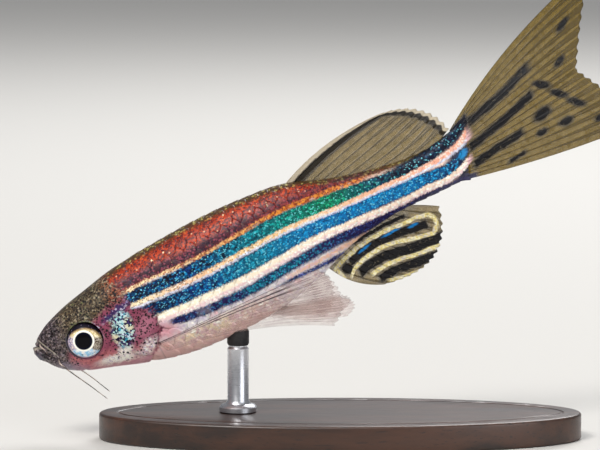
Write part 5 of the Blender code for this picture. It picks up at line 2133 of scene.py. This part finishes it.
@dataclass(frozen=True)
class Eye:
    """An eye: the ball with its painted iris, and the ring of skin round it."""

    radius: float = 1.38
    depth: float = 1.08
    fullness: float = 2.7
    pupil_at: tuple[float, float] = (-0.11, 0.0)
    pupil: float = 0.66
    ring: float = 0.80
    iris_at: tuple[float, float] = (0.0, -0.13)
    iris: tuple[float, float] = (1.29, 1.09)
    rim_radius: float = 1.43
    rim_thickness: float = 0.06
    around: int = 96
    rim_sunk: float = 0.02
    rim_flatness: float = 0.9
    ring_soft: float = 0.03
    pupil_soft: float = 0.025
    pupil_cut: tuple[float, float] = (0.64, 0.60)
    brow_grains: tuple[float, float, float] = (6.0, 0.34, 0.22)

    def set_in(self, obj: Object, side: Side, dial: Array, out: Array) -> Object:
        """Sets a piece's points round the eye: back and up as on its dial, and out from the middle."""
        s, _, t = BODY.eye
        places = np.stack([s + dial[:, 0], side.value * out, t + dial[:, 1]], axis=-1)
        Workshop.note(obj, "dial", dial)
        Workshop.move(obj, BODY.placed(places))
        Workshop.heal(obj, MERGE_TURNED_WITHIN)
        return obj

    def ball(self, side: Side) -> Object:
        """The eyeball, fuller than a sphere towards its edge."""
        sphere = {"segments": self.around, "ring_count": 64, "radius": 1}
        obj = Workshop.start(f"eye_{side.word}_ball", bpy.ops.mesh.primitive_uv_sphere_add, **sphere)
        x, y, z = np.moveaxis(Workshop.points(obj), -1, 0)
        r = np.clip(np.hypot(x, y), 0, 1)
        out = self.depth * np.sign(z) * (1 - r**self.fullness) ** (1 / self.fullness)
        return self.set_in(obj, side, np.stack([x, y, z], axis=-1) * self.radius, BODY.eye[1] + out)

    def rim(self, side: Side) -> Object:
        """The ring of skin that closes the socket round the ball."""
        torus = {"major_segments": self.around, "minor_segments": 14}
        torus |= {"major_radius": self.rim_radius, "minor_radius": self.rim_thickness}
        obj = Workshop.start(f"eye_{side.word}_rim", bpy.ops.mesh.primitive_torus_add, **torus)
        dial = Workshop.points(obj)
        angle = np.arctan2(dial[:, 1], dial[:, 0])
        s, _, t = BODY.eye
        skin = BODY.flank(s + self.rim_radius * np.cos(angle), t + self.rim_radius * np.sin(angle))
        return self.set_in(obj, side, dial, skin - self.rim_sunk + dial[:, 2] * self.rim_flatness)

    def level(self, g: Graph, dial: Value) -> tuple[Graded, Graded]:
        """The dial read with the fish pitched: how far back and how far up a place lies from the middle."""
        x, y, _ = g.split(dial)
        c, d = math.cos(math.radians(BODY.pitch)), math.sin(math.radians(BODY.pitch))
        return (
            x * c - y * d,
            x * d + y * c,
        )

    def far(self, g: Graph, u: Graded, w: Graded, middle: Sequence[float], halves: Sequence[float]) -> Value:
        """How far a place lies from an oval's middle, 1 on its edge."""
        a = (u - middle[0]) / halves[0]
        b = (w - middle[1]) / halves[1]
        return g.math("SQRT", a * a + b * b)

    def ball_paint(self) -> Material:
        """Black pupil in a white ring, an iris of gold over ice blue, and a dark brow over it."""
        made = Finish("Eyeball")
        g = made.g
        dial = g.read("dial")
        u, w = self.level(g, dial)
        cloud = g.noise(dial, 2.6, 4.0, 0.75)
        grit = g.noise(dial, 6.0, 3.0, 0.7)
        top = g.ramp(cloud, ((0.36, Tint.BRONZE), (0.46, Tint.GOLD), (0.58, Tint.CREAM), (0.66, Tint.WHITE)))
        right = g.ramp(grit, ((0.34, Tint.UMBER), (0.44, Tint.FAWN), (0.56, Tint.GLASSY), (0.66, Tint.SLATE)))
        left = g.ramp(
            grit, ((0.34, Tint.SLATE), (0.44, Tint.LAVENDER), (0.54, Tint.LILAC), (0.64, Tint.CREAM))
        )
        low = g.ramp(cloud, ((0.42, Tint.SKY), (0.52, Tint.ICE), (0.60, Tint.WHITE)))
        colour = g.mix(g.step(u, -0.35, 0.25), left, right)
        colour = g.mix(g.step(w + cloud * 0.3, 0.25, 0.60), colour, top)
        lowest = w + (abs(u) * 0.35 + cloud * 0.3)
        colour = g.mix(g.step(lowest, -0.14, -0.36), colour, low)
        colour = g.mix(g.dots(dial, 3.2, 0.26, 0.22) * 0.75, colour, Tint.SLATE)
        iris = self.far(g, u, w, self.iris_at, self.iris)
        edge = g.step(iris, 0.84, 0.97) * g.step(w, 0.1, 0.6)
        colour = g.mix(edge * 0.85, colour, g.mix(cloud, Tint.UMBER, Tint.BRONZE))
        pupil = self.far(g, u, w, self.pupil_at, (1.0, 1.0))
        ring = pupil + (cloud - 0.5) * 0.08
        ring = g.step(ring, self.ring + self.ring_soft, self.ring - self.ring_soft)
        colour = g.mix(ring, colour, Tint.WHITE)
        glints = g.dots(dial, *self.brow_grains) * 0.7
        brow = g.mix(glints, g.mix(cloud * 0.7, Tint.INK, Tint.UMBER), Tint.LAVENDER)
        under = g.mix(cloud, Tint.MAGENTA, Tint.LILAC)
        colour = g.mix(g.step(iris, 0.98, 1.03), colour, g.mix(g.step(w, -0.2, 0.1), under, brow))
        cut = u * 0.55 - w * 0.83
        hole = g.step(pupil, self.pupil + self.pupil_soft, self.pupil - self.pupil_soft)
        hole = hole * g.step(cut, *self.pupil_cut)
        colour = g.mix(hole, colour, Tint.INK)
        colour = g.mix(g.step(pupil, self.pupil - 0.02, self.pupil - 0.2) * hole, colour, Tint.BLACK)
        made.give(
            Base_Color=colour,
            Roughness=0.30,
            Specular_IOR_Level=0.05,
            Coat_Weight=0.6,
            Coat_Roughness=0.02,
            Coat_IOR=1.2,
        )
        return made.material

    def rim_paint(self) -> Material:
        """Skin that is moss green over the eye and maroon under it, with a painted magenta-lilac glint on its
        upper rear.
        """
        made = Finish("Eye_rim")
        g = made.g
        dial = g.read("dial")
        u, w = self.level(g, dial)
        cloud = g.noise(dial, 5.0, 3.0, 0.6)
        low = g.mix(cloud, Tint.MAGENTA, Tint.ROSE)
        high = g.ramp(cloud, ((0.38, Tint.UMBER), (0.50, Tint.CROWN), (0.56, Tint.MOSS), (0.66, Tint.TAN)))
        # Painted glint: magenta and lilac patches on the upper rear.
        high = g.mix(g.step(u, 0.35, 0.75), high, g.mix(g.step(cloud, 0.50, 0.60), Tint.MAGENTA, Tint.LILAC))
        side = g.mix(g.step(u, -0.9, 0.2), g.mix(cloud, Tint.SLATE, Tint.SNOUT), low)
        made.give(
            Base_Color=g.mix(g.step(w, 0.0, 0.6), side, high),
            Roughness=g.scaled(cloud, 0.3, 0.5),
            Coat_Weight=0.4,
        )
        return made.material

    def build(self) -> None:
        """Makes both eyes."""
        ball_paint, rim_paint = self.ball_paint(), self.rim_paint()
        for side in Side:
            Workshop.hand_over(self.ball(side), ball_paint, "eye", (f"eye_{side.word}",))
            Workshop.hand_over(self.rim(side), rim_paint, "head_skin", ())


@dataclass(frozen=True)
class Barbels:
    """The two pairs of feelers at the mouth: places from root to tip on the left side, and radii."""

    maxillary: Points = (
        (1.3, -0.75, -1.42), (1.3, -1.6, -1.85), (1.95, -1.95, -2.95), (2.65, -2.05, -4.1), (3.46, -1.9, -5.6)
    )
    rostral: Points = ((0.45, -0.35, 0.1), (0.42, -1.12, -0.1), (0.85, -1.75, -0.65), (1.5, -2.05, -1.2))
    maxillary_radii: tuple[float, float] = (0.065, 0.03)
    rostral_radii: tuple[float, float] = (0.06, 0.03)
    steps: int = 12
    taper: float = 0.8
    waves: float = 60.0
    wave: float = 0.05
    tip: float = 0.45

    def feeler(self, name: str, places: Points, radii: tuple[float, float], side: Side) -> Object:
        """One tapering feeler as a mesh."""
        rows = [(k, *place) for k, place in enumerate(places)]
        count = self.steps * (len(places) - 1) + 1
        at = np.linspace(0, len(places) - 1, count)
        path = smooth(rows, at)
        share = at / at[-1]
        thick, thin = radii
        widths = thick + (thin - thick) * share**self.taper
        widths = widths * (1 + self.wave * np.sin(share * self.waves))
        widths[-1] *= self.tip
        obj = Workshop.start(name, bpy.ops.curve.primitive_nurbs_path_add)
        curve = obj.data
        curve.splines.clear()
        spline = curve.splines.new("POLY")
        spline.points.add(count - 1)
        spots = BODY.placed(path * (1, -side.value, 1))
        for point, spot, width in zip(spline.points, spots, widths):
            point.co = (*spot, 1)
            point.radius = width
        curve.dimensions = "3D"
        curve.bevel_depth = MM
        curve.bevel_resolution = 4
        curve.use_fill_caps = True
        Workshop.take(obj)
        bpy.ops.object.convert(target="MESH")
        obj = bpy.context.active_object
        Workshop.heal(obj, MERGE_WITHIN)
        return obj

    def paint(self) -> Material:
        """Pale, half clear skin with a few dark grains."""
        made = Finish("Feeler")
        g = made.g
        at = g.own()
        cloud = g.noise(at, 1500.0, 3.0, 0.6)
        colour = g.mix(g.step(cloud, 0.42, 0.60), Tint.FEELER, Tint.SNOUT)
        made.give(Base_Color=colour, Roughness=g.scaled(cloud, 0.3, 0.5), Coat_Weight=0.4, Alpha=0.94)
        return made.material

    def build(self) -> None:
        """Makes the four feelers."""
        paint = self.paint()
        for side in Side:
            for kind, places, radii in (
                ("maxillary", self.maxillary, self.maxillary_radii),
                ("rostral", self.rostral, self.rostral_radii),
            ):
                obj = self.feeler(f"barbel_{kind}_{side.word}_skin", places, radii, side)
                Workshop.hand_over(obj, paint, "barbel", (f"barbel_{kind}_{side.word}",))


@dataclass(frozen=True)
class Stand:
    """The oval wooden base and the steel rod with its rubber saddle."""

    sides: int = 128
    edge: float = 0.45
    groove_inset: float = 1.3
    groove_width: float = 0.28
    groove_depth: float = 0.16
    foot_radius: float = 1.4
    rod_radius: float = 0.8
    rod_at: float = 14.2
    edge_segments: int = 5
    edge_angle: float = 60.0
    smooth_angle: float = 40.0
    turned_angle: float = 35.0

    def base(self) -> Object:
        """The board: an oval disc with a rounded edge and a turned groove."""
        low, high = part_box("stand_base")
        size = (high - low) / MM
        disc = {"vertices": self.sides, "radius": 0.5, "depth": size.z * MM, "location": (low + high) / 2}
        obj = Workshop.start(
            "stand_base_board", bpy.ops.mesh.primitive_cylinder_add, **disc, end_fill_type="NGON"
        )
        obj.scale = (size.x * MM, size.y * MM, 1)
        Workshop.settle(obj)
        top = high.z

        def groove() -> None:
            """Sinks a ring into the top face."""
            bpy.ops.mesh.select_all(action="DESELECT")
            bpy.ops.object.mode_set(mode="OBJECT")
            for face in obj.data.polygons:
                face.select = face.normal.z > 0.9 and face.center.z > top - 1e-5
            bpy.ops.object.mode_set(mode="EDIT")
            bpy.ops.mesh.inset(thickness=self.groove_inset * MM)
            bpy.ops.mesh.inset(thickness=self.groove_width * MM / 2, depth=-self.groove_depth * MM)
            bpy.ops.mesh.inset(thickness=self.groove_width * MM / 2, depth=self.groove_depth * MM)

        Workshop.edit(obj, groove)
        angle = math.radians(self.edge_angle)
        bevel = {"width": self.edge * MM, "segments": self.edge_segments, "limit_method": "ANGLE"}
        Workshop.apply(obj, "BEVEL", angle_limit=angle, **bevel)
        bpy.ops.object.shade_smooth_by_angle(angle=math.radians(self.smooth_angle))
        return obj

    def turned(self, name: str, foot: Vector, profile: Points, sides: int = 64) -> Object:
        """A turned piece, drawn up ring by ring.

        Args:
            name: The piece's name.
            foot: The middle of its underside.
            profile: Radius and height of each ring in millimetres, from the underside up.
            sides: How many sides its rings have.

        Returns:
            The piece.
        """
        radius, height = profile[0]
        ring = {"vertices": sides, "radius": radius * MM, "location": foot + Vector((0, 0, height * MM))}
        obj = Workshop.start(name, bpy.ops.mesh.primitive_circle_add, **ring, fill_type="NGON")

        def draw() -> None:
            """Each ring extruded from the last, moved up and resized."""
            near, low = radius, height
            for wide, high in profile[1:]:
                bpy.ops.mesh.extrude_region_move(TRANSFORM_OT_translate={"value": (0, 0, (high - low) * MM)})
                bpy.ops.transform.resize(value=(wide / near, wide / near, 1))
                near, low = wide, high

        Workshop.edit(obj, draw)
        Workshop.settle(obj)
        Workshop.heal(obj, MERGE_TURNED_WITHIN)
        Workshop.take(obj)
        bpy.ops.object.shade_smooth_by_angle(angle=math.radians(self.turned_angle))
        return obj

    def wood(self) -> Material:
        """Dark figured wood under satin lacquer."""
        made = Finish("Dark_wood")
        g = made.g
        at = g.own()
        long_grain = g.stretched(at, (60.0, 520.0, 520.0))
        figure = g.noise(long_grain, 1.0, 4.0, 0.6)
        fibre = g.noise(g.stretched(at, (400.0, 6000.0, 6000.0)), 1.0, 3.0, 0.7)
        pores = g.step(g.noise(g.stretched(at, (700.0, 9000.0, 9000.0)), 1.0, 1.0), 0.62, 0.70)
        colour = g.mix(g.step(figure, 0.34, 0.66), Tint.WALNUT_DARK, Tint.WALNUT)
        colour = g.mix(fibre * 0.45, colour, Tint.WALNUT_DARK)
        colour = g.mix(pores * 0.6, colour, Tint.BLACK)
        height = fibre * 0.4 - pores
        made.give(
            Base_Color=colour,
            Roughness=g.scaled(fibre, 0.34, 0.52),
            Normal=g.bump(height, 0.00001, 0.5),
            Coat_Weight=0.35,
            Coat_Roughness=0.22,
        )
        return made.material

    def steel(self) -> Material:
        """Brushed steel with fine turned lines."""
        made = Finish("Brushed_steel")
        g = made.g
        at = g.own()
        lines = g.noise(g.stretched(at, (400.0, 400.0, 26000.0)), 1.0, 3.0, 0.7)
        smears = g.noise(at, 900.0, 3.0)
        made.give(
            Base_Color=g.mix(smears * 0.4, Tint.STEEL, Tint.SILVER),
            Metallic=1.0,
            Roughness=g.scaled(lines, 0.18, 0.42),
            Normal=g.bump(lines, 0.000004, 0.6),
        )
        return made.material

    def build(self) -> None:
        """Makes base, rod and saddle."""
        Workshop.hand_over(self.base(), self.wood(), "stand_wood", ("stand_base",))
        low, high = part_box("stand_rod")
        foot = Vector(((low.x + high.x) / 2, (low.y + high.y) / 2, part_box("stand_base")[1].z))
        belly = BODY.placed(np.array((self.rod_at, 0.0, float(BODY.section(np.array(self.rod_at))[1]))))
        tall = (belly[2] - foot.z) / MM
        radius, wide = self.rod_radius, self.foot_radius
        profile = (
            (wide - 0.12, 0.0),
            (wide, 0.08),
            (wide, 0.40),
            (wide - 0.14, 0.56),
            (radius + 0.16, 0.66),
            (radius, 0.90),
            (radius, tall - 1.2),
            (radius - 0.12, tall - 1.05),
            (radius - 0.12, tall - 0.8),
        )
        rod = self.turned("stand_rod_steel", foot, profile)
        Workshop.hand_over(rod, self.steel(), "stand_metal", ("stand_rod",))
        saddle = self.turned(
            "stand_saddle",
            foot,
            (
                (radius - 0.06, tall - 0.95),
                (radius + 0.02, tall - 0.8),
                (radius + 0.02, tall + 0.1),
                (radius - 0.1, tall + 0.32),
            ),
        )
        pad = Finish("Saddle_rubber")
        at = pad.g.own()
        grain = pad.g.noise(at, 4000.0, 3.0)
        pad.give(
            Base_Color=pad.g.mix(grain, Tint.RUBBER, Tint.BLACK),
            Roughness=pad.g.scaled(grain, 0.5, 0.75),
            Normal=pad.g.bump(grain, 0.00001, 0.4),
        )
        Workshop.hand_over(saddle, pad.material, "stand_metal", ())


@dataclass(frozen=True)
class Lamp:
    """A square soft light: its name, where it hangs, its side in metres, its power and its colour."""

    name: str
    place: tuple[float, float, float]
    size: float
    watts: float
    warmth: tuple[float, float, float]

    def hang(self, aim: Vector) -> None:
        """Hangs the light and points it."""
        Workshop.clear_selection()
        bpy.ops.object.light_add(type="AREA", location=self.place)
        lamp = bpy.context.active_object
        lamp.name = self.name
        lamp.data.size, lamp.data.energy, lamp.data.color = self.size, self.watts, self.warmth
        lamp.rotation_euler = (aim - Vector(self.place)).to_track_quat("-Z", "Y").to_euler()


@dataclass(frozen=True)
class Studio:
    """Pale floor, soft lights and the camera."""

    lamps: tuple[Lamp, ...] = (
        Lamp("key", (-0.16, -0.26, 0.34), 0.16, 1.35, (1.0, 0.97, 0.93)),
        Lamp("fill", (0.30, -0.30, 0.14), 0.26, 0.6, (0.93, 0.96, 1.0)),
        Lamp("rim", (0.10, 0.30, 0.30), 0.22, 1.2, (1.0, 1.0, 1.0)),
    )
    overhead_power: float = 0.6
    overhead_spread: float = 60.0
    overhead_tilt: tuple[float, float] = (25.0, -15.0)
    sky_colour: tuple[float, float, float, float] = (0.86, 0.88, 0.92, 1)
    sky_strength: float = 0.30
    sensor: float = 36.0
    clip: tuple[float, float] = (0.01, 10.0)
    elevation: float = 6.0
    distance: float = 0.32
    width_seen: float = 44.58
    aim: tuple[float, float] = (19.69, 8.99)
    floor_size: float = 3.0

    def floor(self) -> None:
        """A pale matt floor that reaches far behind."""
        obj = Workshop.start("studio_floor", bpy.ops.mesh.primitive_plane_add, size=self.floor_size)
        made = Finish("Studio_paper")
        made.give(Base_Color=Tint.STUDIO, Roughness=0.9)
        obj.data.materials.append(made.material)
        obj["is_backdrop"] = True

    def overhead(self) -> None:
        """A wide soft light from above and the pale surroundings."""
        bpy.ops.object.light_add(type="SUN", location=(0, 0, 1))
        sun = bpy.context.active_object
        sun.name = "overhead"
        sun.data.energy = self.overhead_power
        sun.data.angle = math.radians(self.overhead_spread)
        sun.rotation_euler = (*(math.radians(a) for a in self.overhead_tilt), 0)
        world = bpy.data.worlds.new("Studio_world")
        world.use_nodes = True
        background = world.node_tree.nodes["Background"]
        background.inputs["Color"].default_value = self.sky_colour
        background.inputs["Strength"].default_value = self.sky_strength
        bpy.context.scene.world = world

    def camera(self) -> None:
        """A long lens at the picture's angle, framed so that the fish fills the view as it does there."""
        tilt = math.radians(self.elevation)
        snout = Vector(BODY.snout())
        across, up = self.aim
        target = snout + Vector((across * MM, 0, up * MM / math.cos(tilt)))
        back = Vector((0, -math.cos(tilt), math.sin(tilt)))
        bpy.ops.object.camera_add(location=target + back * self.distance)
        camera = bpy.context.active_object
        camera.name = "camera"
        camera.rotation_euler = (-back).to_track_quat("-Z", "Y").to_euler()
        camera.data.sensor_width = self.sensor
        camera.data.lens = self.sensor * self.distance / (self.width_seen * MM)
        camera.data.clip_start, camera.data.clip_end = self.clip
        bpy.context.scene.camera = camera

    def build(self) -> None:
        """Sets the studio."""
        self.floor()
        self.camera()
        low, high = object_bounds()
        for lamp in self.lamps:
            lamp.hang((low + high) / 2)
        self.overhead()
        view = bpy.context.scene.view_settings
        view.view_transform = "Standard"
        view.exposure = 0.0


def main() -> None:
    """Builds the fish, its stand and the studio."""
    logging.basicConfig(level=logging.INFO, format="%(name)s %(message)s")
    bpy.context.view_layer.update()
    markings = Markings()
    Skin().build(markings)
    Scales().build(markings)
    Eye().build()
    Barbels().build()
    Fins().build()
    Stand().build()
    Studio().build()


if __name__ == "__main__":
    main()
